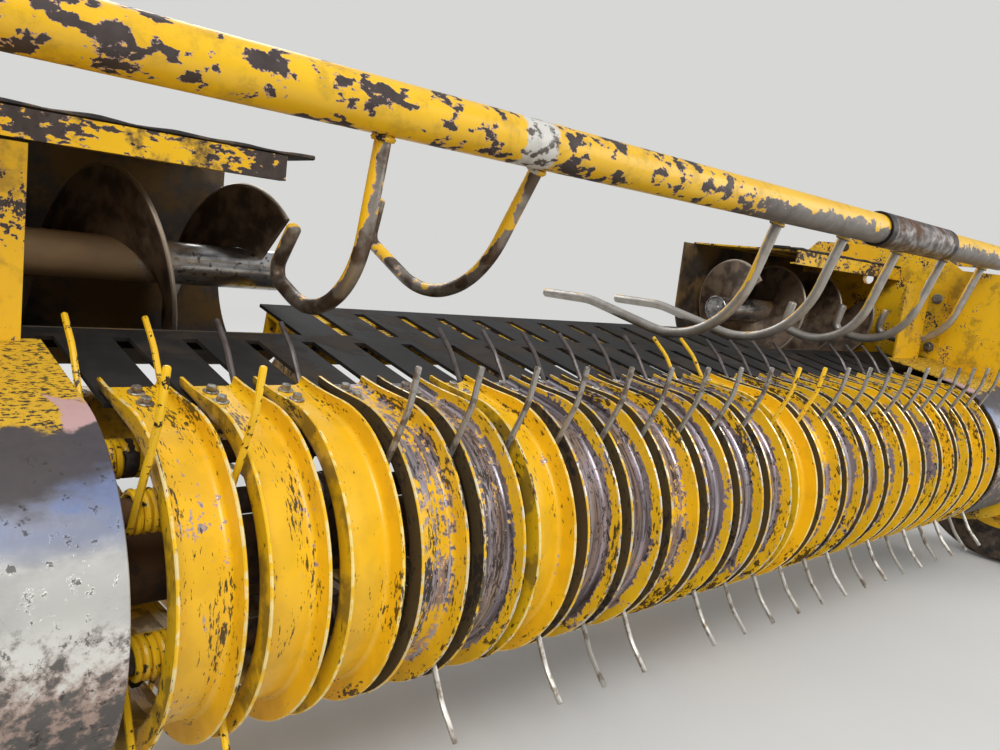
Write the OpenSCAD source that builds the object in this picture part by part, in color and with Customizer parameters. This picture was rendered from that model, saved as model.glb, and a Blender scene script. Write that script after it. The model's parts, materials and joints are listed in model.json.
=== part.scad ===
// Pickup unit of a round baler: tined reel under stripper bands, side augers,
// comb floor, wind guard and gauge wheels between two side walls.
// Profiles are drawn about the reel axis as (rearward, up); X runs across the machine.

/* [Reel] */
// Distance from one stripper band to the next
band_pitch = 66; // [60:1:75]
// Number of stripper bands (odd)
band_count = 23; // [11:2:27]
// Free gap between two bands, where the tines pass
tine_gap = 16; // [14:1:22]
// Radius of the bands' outer lips
lip_r = 142.5; // [132:0.5:155]
// Depth of the channel in each band
channel_depth = 20.5; // [14:0.5:24]
// Sheet thickness of the bands
band_t = 3; // [2:0.5:4]
// Radius of the circle that the tine bars run on
bar_circle_r = 88; // [80:1:90]
// Diameter of a tine bar
bar_d = 21; // [18:0.5:24]
// Wire diameter of the spring tines
wire_d = 5.7; // [4:0.1:6.5]
// Straight length of a tine from its coil to the bend
tine_root = 86; // [60:1:95]
// Length of a tine's tip past the bend
tine_tip = 42; // [20:1:48]
// Angle of the bend towards the tip
tine_bend = 14; // [0:1:20]
// Turns in each tine's coil
coil_turns = 5; // [3:1:5]
// Diameter of the reel's centre tube
shaft_d = 60; // [45:1:70]
// Diameter of the shaft ends in their bearings
journal_d = 35; // [25:1:40]

/* [Frame] */
// Inside width between the side walls
inside_w = 1966; // [1900:1:2100]
// Thickness of the side walls
wall_t = 6; // [4:0.5:10]
// Height of the side walls' top edge above the reel axis
wall_top = 402; // [390:1:430]
// Rise angle of the comb floor
floor_slope = 11.5; // [8:0.5:15]
// Length of the bands' straight top run
band_top_run = 75; // [70:1:90]
// Thickness of the comb floor's plate
floor_t = 4; // [3:0.5:6]
// Length of the comb floor between the augers, from above the reel axis
floor_run = 340; // [320:1:360]
// Diameter of the round rear beam
beam_d = 76; // [60:1:80]
// Wall of the rear beam
beam_wall = 5; // [3:0.5:8]
// Side of the square bottom rail
rail_w = 40; // [30:1:45]
// Distance from the reel axis back to the pivot
pivot_back = 430; // [420:1:450]
// Height of the pivot above the reel axis
pivot_up = 90; // [70:1:110]
// Radius of the pivot bore
pivot_r = 20; // [15:0.5:25]
// Radius of the lift eyes' bore
lift_r = 12.5; // [8:0.5:16]

/* [Augers] */
// Outer radius of the auger flights
flight_r = 100; // [85:1:104]
// Radius of the auger tubes
auger_tube_r = 24; // [18:1:30]
// Length of one turn of a flight
flight_pitch = 154; // [120:1:180]
// Turns of each flight
flight_turns = 3; // [2:0.25:3]
// Thickness of a flight
flight_t = 5; // [4:0.5:8]
// Distance from the reel axis back to the auger axis
auger_back = 315; // [314:1:330]
// Height of the auger axis above the reel axis
auger_up = 225; // [222:1:230]
// Distance from the middle of the machine to an auger's free end
auger_end = 470; // [460:1:520]
// Running gap between the flights and the trough
trough_gap = 12; // [8:1:20]

/* [Wind guard] */
// Diameter of the wind guard's tube
guard_tube_d = 48.3; // [40:0.1:52]
// Height of the tube above the reel axis
guard_up = 392; // [390:1:400]
// Diameter of the guard's rods
rod_d = 16; // [10:1:18]
// Distance from one rod to the next
rod_pitch = 198; // [190:1:206]
// Distance back to the arms' pivots
arm_reach = 330; // [320:1:345]
// Thickness of the arms
arm_t = 8; // [6:1:10]

/* [Gauge wheels] */
// Diameter of the tyres
tyre_d = 400; // [360:1:420]
// Width of the tyres
tyre_w = 160; // [120:1:180]
// Diameter of the rims over their flanges
rim_d = 240; // [200:1:260]
// Diameter of the wheel axles
axle_d = 25; // [20:1:30]
// Distance from a side wall's outer face to the wheel
wheel_gap = 86; // [80:1:110]
// Wheel axle's place rearward of the reel axis
wheel_y = -70; // [-90:1:-50]
// Wheel axle's height above the reel axis
wheel_z = -62; // [-80:1:-40]

/* [Hidden] */
$fn = 48;

// Gap that seats one piece on another
seat = 0.3;
// Radial clearance of a shaft in its bearing
running = 0.05;
// Least clearance between moving pieces
clear = 5;
// How far a shaft stands out of its bearing
shaft_out = 4;

yellow = "#e5b21c";
steel = "#8c8a88";
dark = "#33302e";

half_in = inside_w / 2;
half_out = half_in + wall_t;
band_w = band_pitch - tine_gap;
web_r = lip_r - channel_depth;
// A sheet's straight runs lie this far inside the tangent, so that they meet its bend
// at a clear edge
blend = 0.05;
// How far a cut runs past the sheet's ends
past = lip_r + 20;
// Level at which the bands' straight runs lie on the floor and on the rail
floor_r = web_r - band_t;
seat_r = floor_r - blend;
last_gap = band_pitch * band_count / 2;
cover_x = last_gap + 20.5;

// Tine rows at rest, one bar after another round the reel: heading of the tines in
// degrees from the front upwards, and the tine gaps whose prong has broken off
ROW_HEADING = 0;
ROW_BROKEN = 1;
rows = [
    [-60, [2, 3, 5, 9]],
    [65, [2]],
    [126, [4, 5, 18, 19]],
    [168, [9]],
    [244, [2, 16]]
];
first_bar = -24;
bar_step = 360 / len(rows);
coil_out_r = bar_d / 2 + seat + wire_d + 1;
coil_mean_r = coil_out_r - wire_d / 2 - 0.5;
coil_pitch = wire_d + 0.2;
ridge = 1.2;

// Reel's tube, its bars and the spiders that carry them
tube_end = last_gap + 24;
bar_end = last_gap + 18;
spider_t = 6;
spider_hub_r = shaft_d / 2 + 18;
spider_arm_r = 17;
spider_end_x = last_gap + 11;
spider_mid_x = 6 * band_pitch;
spider_places = [-spider_end_x, -spider_mid_x, 0, spider_mid_x, spider_end_x];

// Comb floor: rear edge of its short part in front of the augers
short_run = 228;
// Runs on the floor's slope where the slots begin and end
slot_start = 50;
slot_end = 205;
slot_bridge = 26;
rear_slot_end = floor_run - 22;
centre_half = auger_end + 20;
plate_z = seat_r - floor_t;
floor_lip = 14;
rib_t = 8;
rib_w = 26;
rib_places = [for (i = [-7, -2, 2, 7]) i * band_pitch];
cross_w = 34;
cross_t = 4;
cross_front_run = 234;
cross_rear_run = 286;

beam_y = 352;
beam_z = 38;
rail_y = 228;
rail_t = 4;

// Side walls: front edge, and the margin that they leave round what they carry
wall_front = -60;
wall_margin = 22;
pivot_boss_r = 34;
pivot_boss_w = 14;
lift_y = 262;
lift_z = 325;
lift_boss_r = 28;
lift_boss_w = 12;
edge_w = 26;
edge_t = 4;
shaft_hole = 4;

trough_r = flight_r + trough_gap;
trough_t = 3;
trough_inner = centre_half + 5;
hood_t = 3;
hood_fold = 14;
hood_front_y = 190;
hood_low_z = 327;
hood_high_z = 350;
hood_inner = 530;
flap_t = 6;
flap_w = 64;
flap_inner = 498;

// Inner guard plates: upright leg, low foot back to the wall and flange on the wall
guard_y = 92;
guard_back = 40;
guard_inset = 16.5;
guard_foot_w = 84;
guard_wall_gap = 71;
guard_inner = cover_x + guard_inset;
guard_fold = guard_inner + guard_foot_w;
guard_outer = half_in - guard_wall_gap;
guard_top = 318;
guard_foot = 19;
guard_flange = 12;
guard_t = 4;

cover_t = 3;
cover_run = 130;
bearing_r = 46;
bearing_w = 22;
auger_journal_r = 17.5;
// Place of a flight's crest along the auger, which sets where the helix starts
crest_x = 520;
flight_start = centre_half + clear + 1 + flight_t / 2;

case_r = 60;
case_depth = 34;
case_t = 3;

arm_x = half_out + edge_t + clear + 1;
arm_pin_r = 10;
arm_pin_w = arm_x + arm_t + 6;
arm_w = 44;
stop_r = 9;
stop_y = 140;
guard_tube_wall = 3.6;
rod_offset = 138;
sleeve_from = 425;
sleeve_to = 700;
sleeve_t = 4.5;
bend_step = 12;
present_rods = [
    // side, place in the row of rods, shape: 0 hook, 1 wide hook, 2 long tail, 3 short hook
    [-1, 2, 0], [-1, 1, 1], [1, 0, 2], [1, 1, 2], [1, 2, 3], [1, 3, 3], [1, 4, 3]
];
// Each shape: heading below level, then steps of straight length, bend radius and bend angle
ROD_HEADING = 0;
ROD_STEPS = 1;
rod_shapes = [
    [80, [[88, 95, 102], [28, 16, 105], [42, 0, 0]]],
    [60, [[88, 140, 85], [78, 16, 80], [40, 0, 0]]],
    [72, [[83, 148, 84], [128, 160, -12], [90, 0, 0]]],
    [72, [[103, 105, 87], [16, 16, 88], [32, 0, 0]]]
];

wheel_x = half_out + wheel_gap + tyre_w / 2;
wheel_arm_x = half_out + wheel_gap - 30;
wheel_arm_t = 12;
wheel_arm_r = 34;
spindle_y = 150;
spindle_z = -62;
spindle_r = 25;
spindle_foot_r = 45;
spindle_foot_w = 10;
axle_collar_r = axle_d / 2 + 8;
axle_nut_w = 10;
// Hole plate behind the arm: the arm's lock pin sits in its first hole
hole_plate_t = 8;
hole_plate_x = wheel_arm_x - 20;
hole_circle_r = 105;
hole_margin = 16;
hole_r = 7;
hole_angles = [12, 24, 36, 48];
lock_pin_r = 8;
hub_r = 30;
hub_w = 90;

shoulder_r = 35;
tread_w = tyre_w - 40;
bead_r = rim_d / 2 - 14;
bead_w = tyre_w - 24;
tyre_wall = 22;
flange_w = 3.6;
rim_t = 4;
dish_t = 5;

// Helpers
module at_reel() {
    translate([0, -pivot_back, -pivot_up]) children();
}

// A profile drawn as (rearward, up), made solid from x0 to x1
module across(x0, x1) {
    translate([x0, 0, 0]) rotate([90, 0, 90]) linear_extrude(x1 - x0) children();
}

// A round bar or bore along X
module cross_bar(r, x0, x1, y = 0, z = 0) {
    translate([x0, y, z]) rotate([0, 90, 0]) cylinder(r = r, h = x1 - x0);
}

// A profile drawn as (radius, along X) turned about the X axis
module turned() {
    rotate([90, 0, 90]) rotate_extrude() children();
}

module on_side(s) {
    if (s < 0) mirror([1, 0, 0]) children();
    else children();
}

// A flat bar with round ends between two points
module slot2d(a, b, r) {
    reach = norm(b - a);
    translate(a) circle(r = r);
    translate(b) circle(r = r);
    translate(a) rotate(atan2(b[1] - a[1], b[0] - a[0]))
        translate([0, blend - r]) square([reach, 2 * (r - blend)]);
}

// Centreline of a bent bar in the (rearward, up) plane as [y, z, heading] places
function bend_place(at, bend_r, a) =
    let (s = sign(a), h = at[2])
    [at[0] + bend_r * s * (sin(h + a) - sin(h)), at[1] - bend_r * s * (cos(h + a) - cos(h)), h + a];

function trace(steps, at, i = 0) = i == len(steps) ? [at] :
    let (
        straight = steps[i][0],
        bend = steps[i][2],
        far = [at[0] + straight * cos(at[2]), at[1] + straight * sin(at[2]), at[2]],
        cuts = ceil(abs(bend) / bend_step),
        arc = [for (k = [1 : 1 : cuts - 1]) bend_place(far, steps[i][1], bend * k / cuts)]
    )
    concat([at], bend == 0 ? [] : [far], arc,
           trace(steps, bend_place(far, steps[i][1], bend), i + 1));

// A round bar swept along its centreline
module swept_bar(r, places, sides = 12) {
    last = len(places) - 1;
    points = [for (p = places) for (k = [0 : sides - 1])
        let (u = r * cos(360 * k / sides), v = r * sin(360 * k / sides))
        [u, p[0] - v * sin(p[2]), p[1] + v * cos(p[2])]];
    faces = concat(
        [[for (k = [0 : sides - 1]) k]],
        [for (i = [0 : last - 1]) for (k = [0 : sides - 1])
            let (n = (k + 1) % sides)
            [i * sides + k, (i + 1) * sides + k, (i + 1) * sides + n, i * sides + n]],
        [[for (k = [sides - 1 : -1 : 0]) last * sides + k]]
    );
    polyhedron(points, faces);
}

// Everything inside radius r of a band's C shape, and up to rise above its lower half
module c_outline(r, top_run, bottom_run, rise = 0) {
    circle(r = r, $fn = 96);
    rotate(floor_slope) square([top_run, r - blend]);
    translate([0, blend - r]) square([bottom_run, r + rise]);
}

// Strip between two radii, open at the rear, as a band or an end cover is bent
module c_strip(r_in, r_out, top_run, bottom_run) {
    difference() {
        c_outline(r_out, top_run, bottom_run);
        c_outline(r_in, top_run + past, bottom_run + past, r_in / 2);
    }
}

// A plate on the floor's slope, run0 to run1 from above the reel axis
module on_slope() {
    rotate([floor_slope, 0, 0]) children();
}

// Frame

module wall_outline() {
    circle(r = lip_r + wall_margin, $fn = 96);
    polygon([
        [wall_front, 0], [wall_front, guard_top + 7], [wall_front + 32, guard_top + 40],
        [62, guard_up - 32], [stop_y - 10, wall_top], [arm_reach + 70, wall_top],
        [pivot_back + wall_margin, wall_top - 52], [pivot_back + pivot_boss_r, pivot_up + 20],
        [pivot_back + pivot_boss_r, pivot_up - 18], [pivot_back - 20, beam_z - 62],
        [rail_y + rail_w + wall_margin, -floor_r - 45], [0, -lip_r - wall_margin]
    ]);
    translate([pivot_back, pivot_up]) circle(r = pivot_boss_r + 2);
    translate([arm_reach, guard_up]) circle(r = arm_w / 2);
}

module side_wall() {
    difference() {
        union() {
            across(half_in, half_out) wall_outline();
            cross_bar(pivot_boss_r, half_in + 1, half_out + pivot_boss_w, pivot_back, pivot_up);
            cross_bar(lift_boss_r, half_in + 1, half_out + lift_boss_w, lift_y, lift_z);
            // Stiffening edge along the top, open round the wind guard's pivot
            across(half_in + 1, half_out + edge_t) difference() {
                translate([stop_y - 10, wall_top - edge_w])
                    square([arm_reach + 80 - stop_y, edge_w]);
                translate([arm_reach, guard_up]) circle(r = arm_w / 2 + wall_margin / 2);
            }
        }
        cross_bar(pivot_r, half_in - 1, half_out + pivot_boss_w + 1, pivot_back, pivot_up);
        cross_bar(lift_r, half_in - 1, half_out + lift_boss_w + 1, lift_y, lift_z);
        cross_bar(journal_d / 2 + shaft_hole, half_in - 1, half_out + 1);
        cross_bar(auger_journal_r + shaft_hole, half_in - 1, half_out + 1, auger_back, auger_up);
        cross_bar(arm_pin_r, half_in - 1, half_out + 1, arm_reach, guard_up);
    }
}

module side_wall_left() {
    color(yellow) at_reel() on_side(-1) side_wall();
}

module side_wall_right() {
    color(yellow) at_reel() side_wall();
}

module rear_beam() {
    color(yellow) at_reel() difference() {
        cross_bar(beam_d / 2, -half_in, half_in, beam_y, beam_z);
        cross_bar(beam_d / 2 - beam_wall, -half_in - 1, half_in + 1, beam_y, beam_z);
    }
}

module bottom_rail() {
    color(yellow) at_reel() across(-half_in, half_in) translate([rail_y, -seat_r])
        difference() {
            square(rail_w);
            translate([rail_t, rail_t]) square(rail_w - 2 * rail_t);
        }
}

// Upright ribs that stand on the rear beam and carry the floor's cross pieces
module floor_ribs() {
    top = plate_z - cross_w;
    front = cross_front_run - 4;
    rear = cross_rear_run + cross_w + 4;
    // Place of the beam's axis on the floor's slope
    beam_run = beam_y * cos(floor_slope) + beam_z * sin(floor_slope);
    beam_drop = beam_z * cos(floor_slope) - beam_y * sin(floor_slope);
    foot = beam_d / 3;
    color(yellow) at_reel() for (x = rib_places) across(x - rib_t / 2, x + rib_t / 2)
        rotate(floor_slope) difference() {
            polygon([[front, top], [rear, top], [rear, top - rib_w], [beam_run + foot, beam_drop],
                     [beam_run - foot, beam_drop], [front + rib_w, top - rib_w],
                     [front, top - rib_w]]);
            translate([beam_run, beam_drop]) circle(r = beam_d / 2 + seat);
        }
}

module floor_cross(run) {
    inner_w = cross_w - 2 * cross_t;
    color(yellow) at_reel() on_slope() translate([-centre_half, run, plate_z - cross_w])
        difference() {
            cube([2 * centre_half, cross_w, cross_w]);
            translate([-1, cross_t, cross_t]) cube([2 * centre_half + 2, inner_w, inner_w]);
        }
}

module floor_cross_front() {
    floor_cross(cross_front_run);
}

module floor_cross_rear() {
    floor_cross(cross_rear_run);
}

// Slatted floor: slots on the tine gaps, longer between the augers
module comb_floor() {
    rear_slot = slot_end + slot_bridge;
    color(dark) at_reel() on_slope() difference() {
        union() {
            translate([-half_in, slot_start, plate_z])
                cube([inside_w, short_run - slot_start, floor_t]);
            translate([-centre_half, short_run - 1, plate_z])
                cube([2 * centre_half, floor_run - short_run + 1, floor_t]);
            // Folded edge in front of each trough
            for (x = [-half_in, centre_half])
                translate([x, short_run - floor_t, plate_z - floor_lip])
                    cube([half_in - centre_half, floor_t, floor_lip + 1]);
        }
        for (i = [0 : band_count]) let (x = (i - band_count / 2) * band_pitch) {
            translate([x - tine_gap / 2, slot_start - 1, plate_z - floor_lip - 1])
                cube([tine_gap, slot_end - slot_start + 1, 2 * floor_lip]);
            if (abs(x) < centre_half - band_pitch / 2)
                translate([x - tine_gap / 2, rear_slot, plate_z - floor_lip])
                    cube([tine_gap, rear_slot_end - rear_slot, 2 * floor_lip]);
        }
    }
}

// Stripper bands

// One band: a strip bent round the reel, with the channel between its lips cut out
module band() {
    channel_w = band_w - 2 * band_t;
    difference() {
        across(-band_w / 2, band_w / 2)
            c_strip(floor_r, lip_r, band_top_run, rail_y + rail_w);
        across(-channel_w / 2, channel_w / 2)
            c_strip(web_r, lip_r + 10, band_top_run + 1, rail_y + rail_w + 1);
    }
}

module bands(first, last) {
    color(yellow) at_reel() for (i = [first : last])
        translate([(i - (band_count + 1) / 2) * band_pitch, 0, 0]) band();
}

third = floor(band_count / 3);

module bands_left() {
    bands(1, third + 1);
}

module bands_middle() {
    bands(third + 2, band_count - third - 1);
}

module bands_right() {
    bands(band_count - third, band_count);
}

module end_cover() {
    across(cover_x, half_in) c_strip(lip_r - cover_t, lip_r, cover_run, rail_y);
}

module end_cover_left() {
    color(steel) at_reel() on_side(-1) end_cover();
}

module end_cover_right() {
    color(steel) at_reel() end_cover();
}

// Augers' surroundings

// Trough: a sheet that drops from the floor's edge, runs round under the auger and up behind
module trough() {
    start = short_run + trough_t + seat;
    lip = [cos(floor_slope) * start - sin(floor_slope) * seat_r,
           sin(floor_slope) * start + cos(floor_slope) * seat_r];
    axis = [auger_back, auger_up];
    span = norm(axis - lip);
    // Angle at which the flat part leaves the arc
    fall = atan2(axis[1] - lip[1], axis[0] - lip[0]) - asin(trough_r / span);
    flat = sqrt(span * span - trough_r * trough_r);
    high = hood_high_z - auger_up;
    across(trough_inner, half_in) translate(axis) difference() {
        trough_outline(trough_r + trough_t, fall, flat, high);
        trough_outline(trough_r, fall, flat + past, high + past, 2 * trough_r);
    }
}

// Everything inside radius r of the trough's U shape, about the auger's axis, and up to
// rise above its flat front
module trough_outline(r, fall, flat, high, rise = 0) {
    circle(r = r, $fn = 96);
    rotate(fall) translate([-flat, blend - r]) square([flat, r + rise]);
    square([r - blend, high]);
}

module trough_left() {
    color("#6d5f48") at_reel() on_side(-1) trough();
}

module trough_right() {
    color("#6d5f48") at_reel() trough();
}

// Hood over the auger: a sheet with a folded strip along its front
module hood() {
    rear_y = auger_back + trough_r + trough_t;
    across(hood_inner, half_in) {
        translate([hood_front_y, hood_low_z]) square([hood_t, hood_high_z - hood_low_z + hood_t]);
        translate([hood_front_y, hood_high_z]) square([rear_y - hood_front_y, hood_t]);
        translate([hood_front_y, hood_low_z]) square([hood_fold, hood_t]);
    }
}

module hood_left() {
    color(yellow) at_reel() on_side(-1) hood();
}

module hood_right() {
    color(yellow) at_reel() hood();
}

// Rubber flap that lies on the hood's front edge
module flap() {
    across(flap_inner, half_in - seat)
        translate([hood_front_y - 4, hood_high_z + hood_t + seat]) square([flap_w, flap_t]);
}

module flap_left() {
    color("#1e1c1b") at_reel() on_side(-1) flap();
}

module flap_right() {
    color("#1e1c1b") at_reel() flap();
}

// Angle plate beside each auger that guides the crop inwards
module inner_guard() {
    // Height of the end cover's top under the plate's front face
    low_z = lip_r / cos(floor_slope) + guard_y * tan(floor_slope);
    height = guard_top - low_z;
    difference() {
        union() {
            translate([guard_inner, guard_y, low_z])
                cube([guard_outer - guard_inner, guard_t, height]);
            // The foot stays low, so that the wind guard's last rod passes over it
            translate([0, 0, low_z]) linear_extrude(guard_foot) polygon([
                [guard_inner, guard_y], [guard_fold, guard_y], [half_in, guard_y + guard_back],
                [half_in, guard_y + guard_back + guard_t], [guard_fold - 1, guard_y + guard_t],
                [guard_inner, guard_y + guard_t]
            ]);
            translate([half_in - guard_t, guard_y - guard_flange, low_z])
                cube([guard_t, guard_back + guard_flange, height]);
        }
        // Sloping foot that follows the end cover
        on_slope() translate([guard_inner - 1, 0, lip_r - 60])
            cube([half_in - guard_inner + 2, 2 * cover_run, 60 + seat]);
    }
}

module inner_guard_left() {
    color(yellow) at_reel() on_side(-1) inner_guard();
}

module inner_guard_right() {
    color(yellow) at_reel() inner_guard();
}

// Bearing housings of the reel on the walls' inner faces, and of the augers on the outer
module bearings() {
    color(dark) at_reel() for (s = [-1, 1]) on_side(s) {
        difference() {
            cross_bar(bearing_r, half_in - bearing_w, half_in);
            cross_bar(journal_d / 2 + running, half_in - bearing_w - 1, half_in + 1);
        }
        difference() {
            cross_bar(bearing_r, half_out, half_out + bearing_w, auger_back, auger_up);
            cross_bar(auger_journal_r + running, half_out - 1, half_out + bearing_w + 1,
                      auger_back, auger_up);
        }
        // Pivot pins and stops of the wind guard's arms
        cross_bar(arm_pin_r - running, half_in, arm_pin_w, arm_reach, guard_up);
        cross_bar(arm_pin_r + 6, arm_x + arm_t + seat, arm_pin_w + 4, arm_reach, guard_up);
        cross_bar(stop_r, half_out, arm_x + arm_t, stop_y, guard_up - arm_w / 2 - stop_r - seat);
    }
}

// Chain guard: an open pan against the left wall
module chain_guard() {
    color(yellow) at_reel() on_side(-1) difference() {
        across(half_out, half_out + case_depth) slot2d([0, 0], [auger_back, auger_up], case_r);
        across(half_out - 1, half_out + case_depth - case_t)
            slot2d([0, 0], [auger_back, auger_up], case_r - case_t);
    }
}

// Gauge wheel arm: spindle and hole plate on the wall, arm, lock pin and axle
module wheel_arm() {
    arm_end = wheel_arm_x + wheel_arm_t;
    hub_in = wheel_x - hub_w / 2;
    hub_out = wheel_x + hub_w / 2;
    cross_bar(spindle_foot_r, half_out, half_out + spindle_foot_w, spindle_y, spindle_z);
    cross_bar(spindle_r, half_out, arm_end + 6, spindle_y, spindle_z);
    across(wheel_arm_x, arm_end) slot2d([spindle_y, spindle_z], [wheel_y, wheel_z], wheel_arm_r);
    cross_bar(axle_collar_r, wheel_arm_x, hub_in - seat, wheel_y, wheel_z);
    cross_bar(axle_d / 2, wheel_arm_x, hub_out + axle_nut_w, wheel_y, wheel_z);
    cross_bar(axle_collar_r, hub_out + seat, hub_out + axle_nut_w, wheel_y, wheel_z);
    hole_plate();
    cross_bar(lock_pin_r, hole_plate_x - 6, arm_end + 12, spindle_y - hole_circle_r, spindle_z);
}

// Plate fanned out from the spindle, with a row of holes that set the wheel's height
module hole_plate() {
    outer = hole_circle_r + hole_margin;
    swing = hole_angles[len(hole_angles) - 1];
    across(hole_plate_x, hole_plate_x + hole_plate_t) translate([spindle_y, spindle_z])
        difference() {
            union() {
                circle(r = spindle_foot_r);
                intersection() {
                    circle(r = outer, $fn = 96);
                    polygon([[0, 0], for (a = [-10, swing / 2, swing + 10])
                        2 * outer * [-cos(a), -sin(a)]]);
                }
            }
            for (a = hole_angles) translate(hole_circle_r * [-cos(a), -sin(a)])
                circle(r = hole_r);
        }
}

module wheel_arm_left() {
    color(yellow) at_reel() on_side(-1) wheel_arm();
}

module wheel_arm_right() {
    color(yellow) at_reel() wheel_arm();
}

// Reel

// Place of a row's bar about the reel axis
function bar_place(i) = let (a = first_bar + i * bar_step)
    bar_circle_r * [-cos(a), sin(a)];

module reel_shaft() {
    color(dark) at_reel() {
        cross_bar(shaft_d / 2, -tube_end, tube_end);
        cross_bar(journal_d / 2, -half_out - case_depth / 2, half_out + shaft_out);
    }
}

module reel_spiders() {
    color(yellow) at_reel() for (x = spider_places)
        across(x - spider_t / 2, x + spider_t / 2) difference() {
            union() {
                circle(r = spider_hub_r);
                for (i = [0 : len(rows) - 1]) slot2d([0, 0], bar_place(i), spider_arm_r);
            }
            circle(r = shaft_d / 2 + seat);
            for (i = [0 : len(rows) - 1]) translate(bar_place(i)) circle(r = bar_d / 2 + seat);
        }
}

module tine_bars() {
    color(dark) at_reel() for (i = [0 : len(rows) - 1]) let (place = bar_place(i))
        cross_bar(bar_d / 2, -bar_end, bar_end, place[0], place[1]);
}

// Radius profile of a double tine's two coils and the clip between them, by their ridges
function coil_ridge(x, half) = [[coil_out_r - ridge, x - half], [coil_out_r, x - half + ridge],
                                [coil_out_r, x + half - ridge], [coil_out_r - ridge, x + half]];

module coils() {
    last = coil_turns - 1;
    turns = [for (i = [0 : last]) band_pitch / 2 - i * coil_pitch];
    inner = bar_d / 2 + seat;
    turned() polygon(concat(
        [[inner, -turns[0] - coil_pitch / 2]],
        [for (x = turns) each coil_ridge(-x, coil_pitch / 2)],
        [for (i = [last : -1 : 0]) each coil_ridge(turns[i], coil_pitch / 2)],
        [[inner, turns[0] + coil_pitch / 2]]
    ));
}

// One prong, from its coil along +Z, with its tip bent
module prong() {
    cylinder(d = wire_d, h = tine_root);
    translate([0, 0, tine_root]) {
        sphere(d = wire_d + 0.2);
        rotate([-tine_bend, 0, 0]) cylinder(d = wire_d, h = tine_tip);
    }
}

// A row of double tines round one bar, drawn with the prongs along +Z before turning
module tine_row(i) {
    place = bar_place(i);
    color(steel) at_reel() translate([0, place[0], place[1]])
        rotate([90 - rows[i][ROW_HEADING], 0, 0]) {
            for (pair = [0 : (band_count - 1) / 2])
                translate([(2 * pair + 0.5 - band_count / 2) * band_pitch, 0, 0]) coils();
            for (gap = [0 : band_count]) if (len(search(gap, rows[i][ROW_BROKEN])) == 0)
                translate([(gap - band_count / 2) * band_pitch, -coil_mean_r, 0]) prong();
        }
}

module tines_low_front() {
    tine_row(0);
}

module tines_top_front() {
    tine_row(1);
}

module tines_top_rear() {
    tine_row(2);
}

module tines_rear() {
    tine_row(3);
}

module tines_bottom() {
    tine_row(4);
}

// Augers

module auger_tube() {
    cross_bar(auger_tube_r, auger_end, half_in - 6, auger_back, auger_up);
    cross_bar(auger_journal_r, half_in - 7, half_out + bearing_w + shaft_out,
              auger_back, auger_up);
}

module auger_tube_left() {
    color(steel) at_reel() on_side(-1) auger_tube();
}

module auger_tube_right() {
    color(steel) at_reel() auger_tube();
}

// Helical flight as rings of four corners, one ring every few degrees
module flight() {
    step = 10;
    count = floor(flight_turns * 360 / step);
    turn = 360 * (flight_start - crest_x) / flight_pitch;
    inner = auger_tube_r + seat;
    corners = [[inner, -flight_t / 2], [flight_r, -flight_t / 2],
               [flight_r, flight_t / 2], [inner, flight_t / 2]];
    points = [for (i = [0 : count]) for (c = corners)
        let (a = turn + i * step, x = flight_start + flight_pitch * i * step / 360)
        [x + c[1], auger_back + c[0] * sin(a), auger_up + c[0] * cos(a)]];
    faces = concat(
        [[0, 1, 2, 3]],
        // Both faces of the sheet are cut along the same diagonal, so it stays one thickness
        [for (i = [0 : count - 1]) for (j = [0 : 3])
            let (k = (j + 1) % 4, at = 4 * i) each j == 2 ?
            [[at + j, at + 4 + j, at + k], [at + k, at + 4 + j, at + 4 + k]] :
            [[at + j, at + 4 + k, at + k], [at + j, at + 4 + j, at + 4 + k]]],
        [[for (j = [3 : -1 : 0]) 4 * count + j]]
    );
    polyhedron(points, faces);
}

module auger_flight_left() {
    color("#4a3a2c") at_reel() on_side(-1) flight();
}

module auger_flight_right() {
    color("#4a3a2c") at_reel() flight();
}

// Wind guard

module guard_tube() {
    color(yellow) at_reel() difference() {
        cross_bar(guard_tube_d / 2, -arm_x, arm_x, 0, guard_up);
        cross_bar(guard_tube_d / 2 - guard_tube_wall, -arm_x - 1, arm_x + 1, 0, guard_up);
    }
}

module guard_sleeve() {
    color(steel) at_reel() difference() {
        cross_bar(guard_tube_d / 2 + sleeve_t, sleeve_from, sleeve_to, 0, guard_up);
        cross_bar(guard_tube_d / 2 + seat, sleeve_from - 1, sleeve_to + 1, 0, guard_up);
    }
}

module guard_arms() {
    color(yellow) at_reel() for (s = [-1, 1]) on_side(s)
        difference() {
            across(arm_x, arm_x + arm_t)
                slot2d([0, guard_up], [arm_reach, guard_up], arm_w / 2);
            cross_bar(arm_pin_r, arm_x - 1, arm_x + arm_t + 1, arm_reach, guard_up);
        }
}

module guard_rods() {
    color(steel) at_reel() for (rod = present_rods) {
        x = rod_offset + rod[1] * rod_pitch;
        shape = rod_shapes[rod[2]];
        heading = -shape[ROD_HEADING];
        sleeved = rod[0] > 0 && x > sleeve_from && x < sleeve_to;
        start = guard_tube_d / 2 + (sleeved ? sleeve_t : 0) + seat;
        translate([rod[0] * x, 0, 0]) swept_bar(rod_d / 2, trace(shape[ROD_STEPS],
            [start * cos(heading), guard_up + start * sin(heading), heading]));
    }
}

// Gauge wheels

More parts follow.
